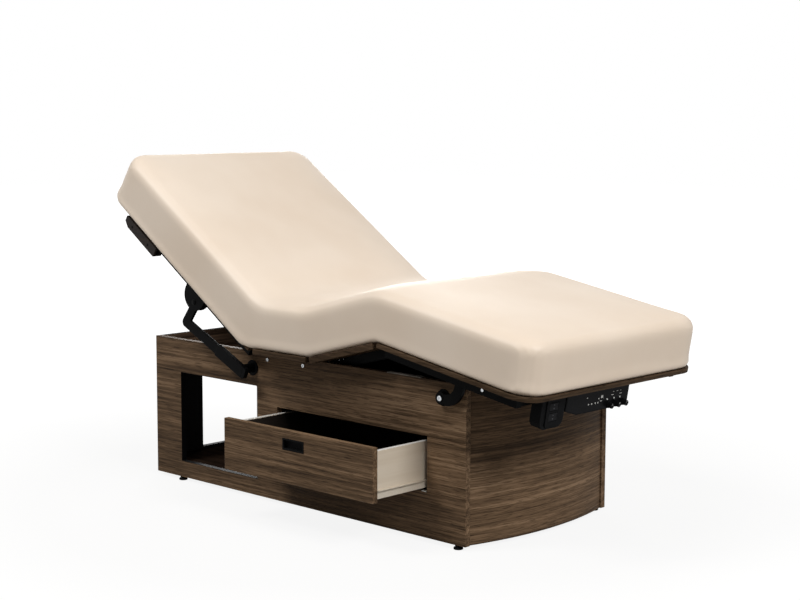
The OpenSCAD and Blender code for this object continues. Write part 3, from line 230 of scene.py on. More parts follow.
walnut_stops = ((0.34, "#36281d"), (0.45, "#614d3a"), (0.53, "#80674f"), (0.66, "#aa8d70"))
walnut_long = veneer("oiled_walnut_veneer_long", (0,), walnut_stops)
walnut_cross = veneer("oiled_walnut_veneer_cross", (0, 1), walnut_stops)


def round_edges(made, edges, radius, steps, clamp=False):
    """Rounds some edges of a shape."""
    bmesh.ops.bevel(made, geom=edges, offset=radius, segments=steps, profile=0.5, affect="EDGES",
                    clamp_overlap=clamp, material=-1)


def ease(made, width, steps=2):
    """Rounds the edges that are sharper than half a radian."""
    sharp = [e for e in made.edges if e.is_manifold and e.calc_face_angle(0) > 0.5]
    round_edges(made, sharp, width, steps, clamp=True)


def from_node(node, width, steps=2):
    """A copy of a CAD node: its triangles merged, its flat faces joined, its edges rounded."""
    made = bmesh.new()
    made.from_mesh(frame["nodes"][node].data)
    bmesh.ops.remove_doubles(made, verts=made.verts[:], dist=1e-6)
    bmesh.ops.dissolve_limit(made, angle_limit=0.004, verts=made.verts[:], edges=made.edges[:])
    ease(made, width, steps)
    return made


def piece(name, made, material, body, nodes=()):
    """Puts a finished shape in the scene, riding on a body and standing for CAD nodes."""
    for face in made.faces:
        face.smooth = True
    placed = in_scene(name, made)
    placed.data.materials.append(material)
    placed.data.set_sharp_from_angle(angle=0.6)
    even = placed.modifiers.new("even_shading", "WEIGHTED_NORMAL")
    even.keep_sharp = True
    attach(placed, body)
    if nodes:
        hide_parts(*nodes)
    return placed


def eased(name, node, width, material, body, steps=2):
    """A piece that is one CAD node with its edges rounded."""
    return piece(name, from_node(node, width, steps), material, body, [node])


arris = 0.0012
for side in ("near_side", "far_side"):
    eased(side + "_board", side + "_panel", arris, walnut_long, "cabinet")


# Head and foot panels, shelf
# The head panel has a second leg-room opening. The foot panel is a bent 18 mm board, its
# veneer laid crosswise, and sits between the sides with a shadow gap of 1.5 mm.
head_board = eased("head_end_board", "head_panel", arris, walnut_cross, "cabinet")
eased("bowed_foot_board", "foot_panel", arris, walnut_cross, "cabinet")

# The shelf lies under the bed: its veneer gets darker stops as painted shade, and no sheen.
shelf_shade_stops = ((0.38, "#241b14"), (0.5, "#43342a"), (0.62, "#5e4b3b"))
shelf_shade_veneer = veneer("walnut_veneer_shelf_painted_shade", (1,), shelf_shade_stops, gloss=0.0)
eased("shelf_board", "top_shelf", arris, shelf_shade_veneer, "cabinet")

# Black resin paper on the head board's inner face, dull and even: painted shade for the
# cabinet's dim inside.
head_shade_backing = mottled("black_sheet_painted_shade", 120, 3, (0.3, "#070606"), (0.7, "#0f0d0c"), 0.7, gloss=0.08)
head_board.data.materials.append(head_shade_backing)
for face in head_board.data.polygons:
    face.material_index = int(face.normal.x > 0.9)


# Black edging
# Black ABS tape, 0.6 mm thick, lines the cut edges of the leg-room openings: painted shade
# on their reveals. A rolled black angle caps the shelf's head end.
def plate(outline, thickness, place, holes=(), soft=0.0008, steps=2):
    """A board or sheet: outline and holes are filled, extruded, eased and put in place."""
    made = bmesh.new()
    for loop in (outline, *holes):
        corners = [made.verts.new((u, v, 0)) for u, v in loop]
        for pair in zip(corners, corners[1:] + corners[:1]):
            made.edges.new(pair)
    bmesh.ops.triangle_fill(made, edges=made.edges[:], use_beauty=True, use_dissolve=True, normal=(0, 0, 1))
    grown = bmesh.ops.extrude_face_region(made, geom=made.faces[:])
    top = [v for v in grown["geom"] if isinstance(v, bmesh.types.BMVert)]
    bmesh.ops.translate(made, verts=top, vec=(0, 0, thickness))
    if soft:
        ease(made, soft, steps)
    bmesh.ops.transform(made, matrix=place, verts=made.verts[:])
    bmesh.ops.recalc_face_normals(made, faces=made.faces[:])
    return made


def arc(centre, radius, start, end, steps):
    """Points on an arc, in degrees."""
    turns = [math.radians(start + (end - start) * k / steps) for k in range(steps + 1)]
    return [(centre[0] + radius * math.cos(a), centre[1] + radius * math.sin(a)) for a in turns]


def ring(centre, radius, steps=32):
    """A closed circle of points."""
    return arc(centre, radius, 0, 360, steps)[:-1]


def round_box(u, v, radius, steps=4):
    """A rectangle between u[0], u[1] and v[0], v[1] with rounded corners."""
    corners = (((u[1] - radius, v[1] - radius), 0), ((u[0] + radius, v[1] - radius), 90),
               ((u[0] + radius, v[0] + radius), 180), ((u[1] - radius, v[0] + radius), 270))
    return [point for centre, start in corners for point in arc(centre, radius, start, start + 90, steps)]


def shift(x, y, z):
    """A move by x, y and z."""
    return Matrix.Translation((x, y, z))


def standing_along(y):
    """Drawn in X and Z, thickness along +Y from y."""
    return Matrix(((1, 0, 0, 0), (0, 0, 1, y), (0, 1, 0, 0), (0, 0, 0, 1)))


def standing_across(x):
    """Drawn in Y and Z, thickness along +X from x."""
    return Matrix(((0, 0, 1, x), (1, 0, 0, 0), (0, 1, 0, 0), (0, 0, 0, 1)))


def gather(*parts):
    """Several shapes as one mesh."""
    whole = bmesh.new()
    for part in parts:
        data = bpy.data.meshes.new("loose")
        part.to_mesh(data)
        part.free()
        whole.from_mesh(data)
        bpy.data.meshes.remove(data)
    return whole


def both_sides(made):
    """Adds the mirror image across the bed's middle."""
    bmesh.ops.mirror(made, geom=made.verts[:] + made.edges[:] + made.faces[:], merge_dist=0, axis="Y")
    bmesh.ops.recalc_face_normals(made, faces=made.faces[:])
    return made


# Moulded ABS: matte black with a fine spark-eroded texture, drawn at 1.5 mm.
black_abs = mottled("black_moulded_abs", 650, 2, (0.3, "#0c0c0d"), (0.7, "#161617"), gloss=0.02,
                    relief=(0.15, 0.0003))

tape = 0.0006
bay_x, bay_z = (-0.529, -0.173), (0.062, 0.343)
head_opening_y, head_opening_z, head_face_x = (-0.135, 0.135), (0.067, 0.343), -0.65
side_y, board = 0.305, 0.018
opening_corner = 0.0028


def opening_shade_tape(u, v, place):
    """A lining of black tape just inside an opening in a board, as painted shade on its reveal."""
    inner = round_box((u[0] + tape, u[1] - tape), (v[0] + tape, v[1] - tape), opening_corner)
    return plate(round_box(u, v, opening_corner + tape), board, place, [inner], soft=0)


shade_tapes = gather(
    both_sides(opening_shade_tape(bay_x, bay_z, standing_along(-side_y))),
    opening_shade_tape(head_opening_y, head_opening_z, standing_across(head_face_x)),
)
piece("opening_edge_shade_tape", shade_tapes, black_abs, "cabinet")
eased("shelf_nosing", "shelf_edge_strip", 0.0006, black_abs, "cabinet")


# Inner boards
# Floor, partition, divider and machine deck are melamine-faced board: a printed wood
# decor under a dull resin, with the decor's streaks along the board. The decor is near
# black as painted shade for the cabinet's dim inside.
interior_shade_stops = ((0.36, "#1a130e"), (0.5, "#2b2019"), (0.64, "#3a2c22"))
shaded_melamine = veneer("melamine_board_painted_shade", (0,), interior_shade_stops, gloss=0.0)
for name, node in (("bay_floor_board", "floor_panel"), ("middle_partition", "partition_panel"),
                   ("drawer_side_divider", "drawer_divider"), ("actuator_deck", "machine_deck")):
    eased(name, node, 0.0008, shaded_melamine, "cabinet")


# Levelling glides
# Moulded feet with a hex collar screw up into the panels' lower edges on M8 studs; a
# longer one holds up the middle of the floor board.
def turned(profile, place=Matrix(), steps=32):
    """A round part: its profile, in radius and height, is spun about its axis."""
    made = bmesh.new()
    line = [made.verts.new((r, 0, h)) for r, h in profile]
    edges = [made.edges.new(pair) for pair in zip(line, line[1:])]
    bmesh.ops.spin(made, geom=line + edges, cent=(0, 0, 0), axis=(0, 0, 1), angle=2 * math.pi,
                   steps=steps, use_merge=True)
    bmesh.ops.remove_doubles(made, verts=made.verts[:], dist=1e-6)
    bmesh.ops.transform(made, matrix=place, verts=made.verts[:])
    bmesh.ops.recalc_face_normals(made, faces=made.faces[:])
    return made


glide_profile = [(0, 0), (0.0118, 0), (0.0128, 0.0006), (0.0130, 0.0016),
                 (0.0130, 0.0042), (0.0122, 0.0056), (0.0098, 0.0068), (0, 0.0068)]
hex_r, hex_t, hex_z = 0.0092, 0.0048, 0.0066
stud_r, stud_z = 0.0039, 0.010


def glide(x, y, stud_top):
    """One foot: pad, hex collar and stud."""
    foot = shift(x, y, 0)
    stud = [(0, stud_z), (stud_r, stud_z), (stud_r, stud_top), (0, stud_top)]
    return gather(
        turned(glide_profile, foot),
        plate(ring((0, 0), hex_r, 6), hex_t, foot @ shift(0, 0, hex_z), soft=0.0005),
        turned(stud, foot, steps=16),
    )


feet = [both_sides(glide(x, -0.296, 0.037)) for x in (-0.534, 0.618)]
feet.append(glide(0, 0, 0.058))
piece("levelling_feet", gather(*feet), black_abs, "cabinet", ["levelling_glides"])


# Shaft bushes and mains inlet
# Flanged acetal bushes carry the two arm shafts in the side panels. The inlet is a socket
# with three blades, screwed over a rectangular hole in the far panel.
def lying_out(x, z):
    """Turned about an axis along -Y, which points out of the near side."""
    return Matrix(((1, 0, 0, x), (0, 0, -1, 0), (0, 1, 0, z), (0, 0, 0, 1)))


arm_shaft = (-0.190, 0.3955)
leg_shaft = (0.572, 0.403)
bushes = []
for (x, z), bore in ((arm_shaft, 0.01405), (leg_shaft, 0.01205)):
    wall = [(bore, 0.287), (0.018, 0.287), (0.018, side_y), (0.0222, side_y), (0.023, 0.3058),
            (0.023, 0.3082), (0.0222, 0.309), (bore + 0.0006, 0.309), (bore, 0.3084), (bore, 0.287)]
    bushes.append(both_sides(turned(wall, lying_out(x, z), steps=48)))
piece("shaft_bearings", gather(*bushes), black_abs, "cabinet", ["shaft_bushes"])

inlet = [from_node("mains_inlet", 0.0008)]
blade_half, blade_z, blade_y, blade_length = 0.0009, (0.1045, 0.1095), 0.279, 0.014
for x in (0.5545, 0.559, 0.5635):
    blade = round_box((x - blade_half, x + blade_half), blade_z, 0.0004, 2)
    inlet.append(plate(blade, blade_length, standing_along(blade_y), soft=0))
piece("inlet_socket", gather(*inlet), black_abs, "cabinet", ["mains_inlet"])


# Seat frame and its bolts
# Welded mild steel in black powder coat: two box bearers across the cabinet, two rails and
# the fixed hinge knuckles. Four zinc-plated socket screws hold it between the side panels.
# The coat bakes to a slight orange peel, drawn 2.5 mm apart so that it shows.
powder, tree, shader, where = new_material("black_powder_coat", roughness=0.4, gloss=0.025)
peel = add(tree, "TexNoise", {"Vector": where, "Scale": 400.0, "Detail": 1.0}).outputs["Fac"]
dust = add(tree, "TexNoise", {"Vector": where, "Scale": 9.0, "Detail": 3.0}).outputs["Fac"]
add(tree, "ValToRGB", {"Fac": dust}, ((0.35, "#09090a"), (0.7, "#131313")), shader.inputs["Base Color"])
peel_bump = {"Height": peel, "Strength": 0.12, "Distance": 0.0004}
add(tree, "Bump", peel_bump, feeds=shader.inputs["Normal"])

# Zinc plate: bright bluish grey, slightly uneven from the bath.
zinc, tree, shader, where = new_material("zinc_plated_steel", roughness=0.3)
bath = add(tree, "TexNoise", {"Vector": where, "Scale": 260.0, "Detail": 3.0}).outputs["Fac"]
add(tree, "ValToRGB", {"Fac": bath}, ((0.3, "#aeb1b4"), (0.7, "#d0d3d5")), shader.inputs["Base Color"])
shader.inputs["Metallic"].default_value = 1.0
uneven = {"From Min": 0.3, "From Max": 0.7, "To Min": 0.24, "To Max": 0.4}
add(tree, "MapRange", {"Value": bath, **uneven}, feeds=shader.inputs["Roughness"])

eased("seat_frame_weldment", "seat_frame", 0.0005, powder, "cabinet", steps=1)


def socket_screw(x, z, y_face, head_r, head_t, shank_r, shank):
    """A button-head screw with a hexagon socket, its head outside y_face."""
    out = lying_out(x, z)
    on_face = out @ shift(0, 0, y_face)
    socket = ring((0, 0), 0.0032, 6)
    core_r, core_top = 0.0034, head_t / 2
    core = [(0, core_top), (core_r, core_top), (core_r, 0), (shank_r, 0), (shank_r, -shank), (0, -shank)]
    head = plate(ring((0, 0), head_r, 40), head_t, on_face, [socket], soft=0.0012, steps=3)
    return gather(head, turned(core, on_face, steps=24))


bolt_xs, bolt_z = (-0.1235, 0.0286), 0.426
bolts = [socket_screw(x, bolt_z, side_y, head_r=0.0052, head_t=0.0036, shank_r=0.0039, shank=0.024)
         for x in bolt_xs]
piece("frame_screws", both_sides(gather(*bolts)), zinc, "cabinet", ["frame_bolts"])


# Rest strips
# Extruded EPDM strips, ribbed along their length, are glued on the side panels' top edges
# where the leg section comes down.
# The rubber is pale and chalky, with no shine.
epdm = mottled("pale_epdm_rubber", 160, 3, (0.3, "#8d867c"), (0.7, "#a9a298"), 0.7, gloss=0.3)


def lying_strip(x, y, radius, thickness, z, soft):
    """A flat strip between x[0], x[1] and y[0], y[1] that lies at height z."""
    lying = shift(0, 0, z)
    return plate(round_box(x, y, radius, 2), thickness, lying, soft=soft, steps=1)


panel_top, rib_pitch, rib_half = 0.445, 0.0035, 0.001
strips = [lying_strip((0.360, 0.487), (-side_y, board - side_y), 0.001, 0.0015, panel_top, 0.0003)]
for k in range(5):
    rib_y = 0.002 - side_y + rib_pitch * k
    rib_ys = (rib_y - rib_half, rib_y + rib_half)
    strips.append(lying_strip((0.3605, 0.4865), rib_ys, 0.0004, 0.0011, panel_top + 0.0014, 0.0003))
strips = both_sides(gather(*strips))
piece("ribbed_rest_strips", strips, epdm, "cabinet", ["leg_rest_strips"])


# Boards under the mattress
# Birch plywood, 12 to 18 mm, stained dark brown like the cabinet. The edges show the
# plies as thin lines along the board.
plywood_stops = ((0.36, "#2a2019"), (0.48, "#463729"), (0.64, "#65513f"))
plywood = veneer("stained_birch_plywood", (0, 1), plywood_stops, gloss=0.04)
for section_name, body in (("seat", "cabinet"), ("back", "back_section"),
                           ("thigh", "thigh_section"), ("leg", "leg_section")):
    eased(section_name + "_board", section_name + "_deck", 0.001, plywood, body)


# Hinges and section frames
# Under each board lies a ladder frame of black-coated steel. Butt hinges with 8 mm plated
# pins join the frames, and pan-head screws run up through their leaves into the boards.
pin_drop = 0.008
back_rise, thigh_rise, leg_fall = (math.radians(angle) for angle in (34, 15.1, 9.8))
back_hinge, hip_hinge, knee_hinge = (hinge_at[name] for name in ("back_tilt", "thigh_lift", "knee_fold"))


def section(hinge, turn):
    """A section's own axes: X along it from its hinge, Z = 0 on top of its board."""
    return Matrix.Translation(hinge) @ Matrix.Rotation(turn, 4, "Y") @ shift(0, 0, pin_drop)


back_at = section(back_hinge, back_rise)
thigh_at = section(hip_hinge, -thigh_rise)
leg_at = section(knee_hinge, leg_fall)
thigh_length = (knee_hinge - hip_hinge).length
seat_end = shift(hip_hinge.x, 0, hip_hinge.z + pin_drop)
thigh_end = thigh_at @ shift(thigh_length, 0, 0)


def leaf_screws(at, side, below):
    """Pan heads under three hinge leaves on one side of a hinge line."""
    head = [(0, -0.0012), (0.0030, -0.0012), (0.0042, -0.0004), (0.0042, 0.0004), (0, 0.0004)]
    return [turned(head, at @ shift(side * x, y + across, -below), steps=12)
            for x in (0.018, 0.036) for y in (-0.25, 0, 0.25) for across in (-0.019, 0.019)]


for part_name in ("back", "thigh", "leg"):
    ladder, frame_node = part_name + "_ladder_frame", part_name + "_frame"
    eased(ladder, frame_node, 0.0006, powder, part_name + "_section", steps=1)
eased("cabinet_hinge_pins", "hinge_pins", 0.0006, zinc, "cabinet", steps=1)
eased("leg_side_pins", "leg_pins", 0.0006, zinc, "leg_section", steps=1)
thigh_screws = leaf_screws(thigh_at, 1, 0.0205) + leaf_screws(thigh_end, -1, 0.0205)
for part_name, body, screws in (("seat", "cabinet", leaf_screws(seat_end, -1, 0.020)),
                                ("back", "back_section", leaf_screws(back_at, -1, 0.0175)),
                                ("thigh", "thigh_section", thigh_screws),
                                ("leg", "leg_section", leaf_screws(leg_at, 1, 0.0145))):
    piece(part_name + "_leaf_screws", gather(*screws), zinc, body)


# Back brackets and their pins
# Half-round plates cut from 4 mm steel stand in pairs outside the back frame's rails, the
# inner one held by two carriage bolts. A turned pin with a head and a clip joins each pair.
bracket_pin = (-0.277, -0.050)
half_round = [(-0.2395, -0.015), *arc((-0.287, -0.031), 0.0475, 0, -180, 28), (-0.3345, -0.015)]
pin_hole = ring(bracket_pin, 0.00602)
brackets = [plate(half_round, 0.004, back_at @ standing_along(y), [pin_hole], soft=0.0007)
            for y in (-0.348, -0.366)]
carriage_head = [(0, 0.3495), (0.0030, 0.3494), (0.0056, 0.3489), (0.0066, 0.3480), (0, 0.3480)]
brackets += [turned(carriage_head, back_at @ lying_out(x, -0.027), steps=20) for x in (-0.318, -0.256)]
brackets = both_sides(gather(*brackets))
piece("half_round_brackets", brackets, powder, "back_section", ["back_brackets"])

headed_pin = [(0, 0.3690), (0.0050, 0.3689), (0.0078, 0.3681), (0.0090, 0.3668), (0.0090, 0.3660),
              (0.0060, 0.3660), (0.0060, 0.3446), (0.0055, 0.3440), (0, 0.3440)]
pins = both_sides(turned(headed_pin, back_at @ lying_out(*bracket_pin)))
piece("bracket_headed_pins", pins, powder, "back_section", ["bracket_pins"])


# Cradle blocks
# Blocks of dark-stained beech, bored for a 19 mm bar, are screwed on outside the back
# frame's rails under the mattress's hem. A grub screw from outside clamps the bar.
beech_stops = ((0.36, "#100c09"), (0.5, "#1d1612"), (0.64, "#2a2019"))
beech = veneer("dark_stained_beech", (0,), beech_stops, gloss=0.15)
eased("cradle_blocks", "cradle_receiver", 0.0016, beech, "back_section")
grub = [(0, 0.3766), (0.0034, 0.3765), (0.0042, 0.3761), (0.0042, 0.3755), (0, 0.3755)]
grubs = [turned(grub, back_at @ lying_out(x, -0.0343), steps=18) for x in (-0.630, -0.540)]
piece("cradle_clamp_screws", both_sides(gather(*grubs)), powder, "back_section")


# Back lifting gear
# A steel torque tube turns in the cabinet's bushes. Outside each panel a square sleeve is
# welded on its end; a bent flat bar slides in the sleeve and lifts the back section.
eased("back_torque_tube", "back_arm_shaft", 0.0006, powder, "arm_carrier", steps=1)
collar = [(0.0141, 0.2770), (0.0205, 0.2770), (0.0215, 0.2778), (0.0215, 0.2852),
          (0.0205, 0.2860), (0.0141, 0.2860), (0.0141, 0.2770)]
collars = both_sides(turned(collar, lying_out(*arm_shaft)))
piece("torque_tube_collars", collars, powder, "arm_carrier")
eased("bar_sleeves", "arm_sleeves", 0.0012, powder, "arm_carrier")

# Moulded plugs close the sleeves' lower ends.
sleeve_turn = math.radians(25.56)
along_sleeve = shift(arm_shaft[0], 0, arm_shaft[1]) @ Matrix.Rotation(sleeve_turn, 4, "Y")
plug_outline = [(0.0155, 0.0172), *arc((0.021, 0.0092), 0.008, 90, 0, 6),
                *arc((0.021, -0.0092), 0.008, 0, -90, 6), (0.0155, -0.0172)]
plug_y, plug_width = -0.3623, 0.0146
plugs = both_sides(plate(plug_outline, plug_width, along_sleeve @ standing_along(plug_y), soft=0.001))
piece("sleeve_end_plugs", plugs, black_abs, "arm_carrier")
eased("bent_lift_bars", "bent_arms", 0.0013, powder, "arm_bars")


# Actuators
# Two electric actuators lie on the machine deck: an aluminium tube, a gear housing held by
# four cap screws, and a can motor. A plated rod pushes each arm shaft's slotted lever.
anodised, tree, shader, where = new_material("black_anodised_aluminium", roughness=0.4)
drawn = grown_noise(tree, where, 1.2, 0.02, (0,), 3.0)
add(tree, "ValToRGB", {"Fac": drawn}, ((0.3, "#1b1b1d"), (0.7, "#2a2a2d")), shader.inputs["Base Color"])
shader.inputs["Metallic"].default_value = 0.9
for end in ("back", "leg"):
    eased(end + "_lift_motor", end + "_actuator", 0.0015, anodised, "cabinet")
    eased(end + "_push_rod", end + "_rod", 0.0006, zinc, end + "_drive")

# Cap screws stand on each gear housing's face, round the tube.
cap_screw = [(0, 0.0030), (0.0030, 0.0030), (0.0034, 0.0026), (0.0034, -0.0005), (0, -0.0005)]
cap_screws = []
tube_length = 0.190
back_face_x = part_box("back_actuator")[0][0] + tube_length
leg_face_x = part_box("leg_actuator")[1][0] - tube_length
for face_side, face_x, tube_y, tube_z in ((-1, back_face_x, -0.070, 0.3455),
                                          (1, leg_face_x, 0.070, 0.3530)):
    outwards = Matrix.Rotation(face_side * math.pi / 2, 4, "Y")
    for dy in (-0.018, 0.018):
        for dz in (-0.025, 0.025):
            spot = shift(face_x, tube_y + dy, tube_z + dz)
            cap_screws.append(turned(cap_screw, spot @ outwards, steps=16))
piece("gear_housing_screws", gather(*cap_screws), zinc, "cabinet")
eased("motor_saddles", "actuator_saddles", 0.0008, powder, "cabinet")


# Leg lifting gear
# Curved arms, laser-cut from 10 mm plate, sit on a second torque tube outside the panels
# and carry the leg frame by a pin each. A button-head screw holds each arm on the tube.
eased("leg_torque_tube", "leg_arm_shaft", 0.0006, powder, "leg_arm_set", steps=1)
eased("curved_leg_arms", "leg_arms", 0.0012, powder, "leg_arm_set")
arm_screw = socket_screw(*leg_shaft, 0.321, head_r=0.0075, head_t=0.004, shank_r=0.0045, shank=0.001)
piece("leg_arm_screws", both_sides(arm_screw), zinc, "leg_arm_set", ["leg_arm_bolts"])


# Control box
# A moulded ABS case is screwed under the leg frame's foot end. A printed polycarbonate
# film covers its front, with white dashes and squares, three lamps and three knobs.
eased("control_case", "control_box", 0.002, black_abs, "leg_section")
box_face = 0.512
film_t = 0.00025
knob_ys, knob_z = (0.008, 0.040, 0.072), -0.068
lamp_ys, lamp_z = (0.000, 0.029, 0.055), -0.052
film_outline = [(-0.174, -0.0165), (-0.174, -0.0610), (-0.128, -0.0753), (0.087, -0.0753), (0.087, -0.0165)]
film_holes = [ring((y, knob_z), 0.0042, 24) for y in knob_ys]
film_holes += [ring((y, lamp_z), 0.0027, 20) for y in lamp_ys]

# Black polycarbonate film: smooth, with a low haze that softens the softbox.
film_black = mottled("black_polycarbonate_film", 90, 2, (0.3, "#0a0a0b"), (0.7, "#101012"), 0.3, gloss=0.03)
film = plate(film_outline, film_t, leg_at @ standing_across(box_face), film_holes, soft=0)
piece("control_film", film, film_black, "leg_section")

# White pad print: a thin, slightly broken film of ink.
ink = mottled("white_pad_print", 900, 2, (0.3, "#b9b9b6"), (0.6, "#e2e2de"), 0.6, gloss=0.3)
ink_t = 0.0001


def printed(y, z, width, height):
    """A round-cornered rectangle of ink on the film, about its centre."""
    sides = (y - width / 2, y + width / 2), (z - height / 2, z + height / 2)
    outline = round_box(*sides, min(width, height) * 0.3, 2)
    return plate(outline, ink_t, leg_at @ standing_across(box_face + film_t), soft=0)


square, dash = (0.004, 0.004), (0.008, 0.0018)
marks = [(y, -0.056, *square) for y in (-0.081, -0.068, -0.052, -0.041)]
marks += [(-0.090, -0.037, *square), (-0.039, -0.045, *square)]
marks += [(-0.028, -0.053, *dash), (-0.026, -0.041, 0.010, 0.008)]
marks += [(y, -0.022, *dash) for y in (0.016, 0.030, 0.043, 0.056, 0.070)]
marks += [(y, -0.033, 0.006, 0.0018) for y in (0.023, 0.040, 0.054)]
marks += [(y, -0.042, 0.010, 0.0018) for y in (0.020, 0.056)]
print_marks = gather(*[printed(*mark) for mark in marks])
piece("control_print", print_marks, ink, "leg_section")

# Lamps: frosted acrylic domes, unlit, so they look milky.
frosted = mottled("frosted_acrylic_lens", 500, 2, (0.3, "#d9dcd8"), (0.7, "#eceeea"), 0.45)
dome = [(0, 0.0015), (0.0010, 0.00142), (0.0018, 0.0011), (0.0023, 0.0006), (0.0025, 0), (0, 0)]
facing = standing_across(0)
lamps = [turned(dome, leg_at @ shift(box_face, y, lamp_z) @ facing, steps=20)
         for y in lamp_ys]
piece("indicator_domes", gather(*lamps), frosted, "leg_section", ["indicator_lights"])


# Control knobs
# Three moulded knobs turn on 6 mm spindles. Each has a plain skirt, a fluted grip with a
# flat nose and an inlaid white pointer line.
knob_grip, knob_skirt, knob_out = 0.0077, 0.0090, 0.0003
grip_z, grip_t, flute_depth = 0.0045, 0.0097, 0.00035
grip_radii = [knob_grip - flute_depth * (k % 3 == 0) for k in range(72)]
grip_turns = [math.pi * k / 36 for k in range(72)]
grip_outline = [(r * math.cos(a), r * math.sin(a)) for r, a in zip(grip_radii, grip_turns)]
skirt_profile = [(0, -0.008), (0.0030, -0.008), (0.0030, knob_out), (0.0088, knob_out),
                 (knob_skirt, knob_out + 0.0003), (knob_skirt, 0.0036), (0.0086, 0.0044),
                 (0.0078, 0.0047), (0, 0.0047)]
pointer = round_box((-0.0005, 0.0005), (0.0012, 0.0066), 0.0002, 2)
for letter, number, y in zip("abc", (1, 2, 3), knob_ys):
    knob_at = leg_at @ shift(box_face, y, knob_z) @ facing
    grip = plate(grip_outline, grip_t, knob_at @ shift(0, 0, grip_z), soft=0.0005)
    knob = gather(turned(skirt_profile, knob_at), grip)
    body, node = "knob_" + letter, "control_knob_%d" % number
    piece("control_knob_" + letter, knob, black_abs, body, [node])
    line = plate(pointer, 0.00012, knob_at @ shift(0, 0, grip_z + grip_t), soft=0)
    piece("knob_pointer_" + letter, line, ink, body)


# Hand control and holster
# The holster is a moulded ABS pocket beside the box. The hand control slides out of its
# front and has two rocker switches, back above and legs below, each with dim arrows.
eased("holster_pocket", "handset_holster", 0.0015, black_abs, "leg_section")
eased("hand_control_case", "handset", 0.0012, black_abs, "hand_control")

# Rocker keys: soft-touch ABS, a shade lighter than the case.
key_grey = mottled("soft_touch_grey_abs", 700, 2, (0.3, "#161617"), (0.7, "#212123"), 0.65, gloss=0.05)

# Grey pad print: a dim film of ink that only shows from nearby.
grey_ink = mottled("grey_pad_print", 900, 2, (0.3, "#3c3c3e"), (0.6, "#525254"), 0.6, gloss=0.1)
key_face_x, key_y, arrow_rise = 0.51458, -0.2305, 0.005
key_tilt = math.radians(7.1)
for half, middle_z in (("back", -0.0403), ("leg", -0.0683)):
    name, body = half + "_rocker_key", half + "_switch"
    eased(name, half + "_rocker", 0.0006, key_grey, body)
    arrows = []
    for way in (1, -1):
        on_key = leg_at @ shift(key_face_x, key_y, middle_z + way * arrow_rise)
        on_key = on_key @ Matrix.Rotation(way * key_tilt, 4, "Y") @ facing
        arrow = [(-0.003, -0.0018 * way), (0.003, -0.0018 * way), (0, 0.0024 * way)]
        arrows.append(plate(arrow, ink_t, on_key, soft=0))
    piece(name + "_arrows", gather(*arrows), grey_ink, body)


# Drawer
# The front is veneered like the panels, with a black moulded pull let into it. Behind it
# stands a box of cream-lacquered birch boards, its bottom in grooves; its lining and bottom
# are dark as painted shade.
eased("drawer_face_board", "drawer_front", arris, walnut_long, "drawer")
eased("recessed_drawer_pull", "drawer_pull", 0.0007, black_abs, "drawer")

# Cream lacquer: sprayed twice over birch, so the grain only ghosts through.
lacquer, tree, shader, where = new_material("cream_lacquered_birch", roughness=0.42, gloss=0.4)
ghost = grown_noise(tree, where, 14, 0.05, (1,), 3.0)
add(tree, "ValToRGB", {"Fac": ghost}, ((0.3, "#d9cab5"), (0.7, "#e2d5c2")), shader.inputs["Base Color"])
eased("drawer_box_walls", "drawer_walls", 0.0008, lacquer, "drawer")
# The drawer's base is the same near-black board: painted shade inside the box.
eased("drawer_base_board", "drawer_bottom", 0.0004, shaded_melamine, "drawer", steps=1)

# Two side walls and the back wall, by their outer faces in X and Y.
wall_x, wall_y, wall_top, wall_t = (-0.0725, 0.4995), (-0.491, -0.061), 0.275, 0.012
inside_x = (wall_x[0] + wall_t, wall_x[1] - wall_t)
inside_y = (wall_y[0], wall_y[1] - wall_t)
wall_tops = (
    ((wall_x[0], inside_x[0]), wall_y),
    ((inside_x[1], wall_x[1]), wall_y),
    (inside_x, (inside_y[1], wall_y[1])),
)
edging = [lying_strip(x, y, 0.001, tape, wall_top, 0.0002) for x, y in wall_tops]

# White edge band: 0.6 mm ABS tape, clean and slightly shiny.
edge_band, tree, shader, where = new_material("white_abs_edge_band", roughness=0.3)
trimmed = grown_noise(tree, where, 1.5, 0.05, (1,), 2.0)
add(tree, "ValToRGB", {"Fac": trimmed}, ((0.3, "#ece8e1"), (0.7, "#f8f5ef")), shader.inputs["Base Color"])
piece("drawer_wall_edging", gather(*edging), edge_band, "drawer")

# Lining: needle felt glued inside the walls, slightly hairy and quite dull. Its dark brown
# is painted shade for the drawer's dim inside.
shade_felt, tree, shader, where = new_material("brown_felt_painted_shade", roughness=0.95, gloss=0.05)
hairs = add(tree, "TexNoise", {"Vector": where, "Scale": 420.0, "Detail": 4.0}).outputs["Fac"]
add(tree, "ValToRGB", {"Fac": hairs}, ((0.35, "#1b1613"), (0.65, "#332b25")), shader.inputs["Base Color"])
hair_bump = {"Height": hairs, "Strength": 0.4, "Distance": 0.0006}
add(tree, "Bump", hair_bump, feeds=shader.inputs["Normal"])
shader.inputs["Sheen Weight"].default_value = 0.1
shade_felt_t, shade_felt_z, bottom_shade_felt_z = 0.0010, (0.1622, 0.2735), 0.162
side_shade_felt = round_box(inside_y, shade_felt_z, 0.001, 2)
back_shade_felt = round_box((inside_x[0] + shade_felt_t, inside_x[1] - shade_felt_t), shade_felt_z, 0.001, 2)
shade_lining = [
    plate(side_shade_felt, shade_felt_t, standing_across(inside_x[0]), soft=0),
    plate(side_shade_felt, shade_felt_t, standing_across(inside_x[1] - shade_felt_t), soft=0),
    plate(back_shade_felt, shade_felt_t, standing_along(inside_y[1] - shade_felt_t), soft=0),
    lying_strip(inside_x, inside_y, 0.001, 0.0004, bottom_shade_felt_z, 0),
]
piece("drawer_shade_lining", gather(*shade_lining), shade_felt, "drawer")


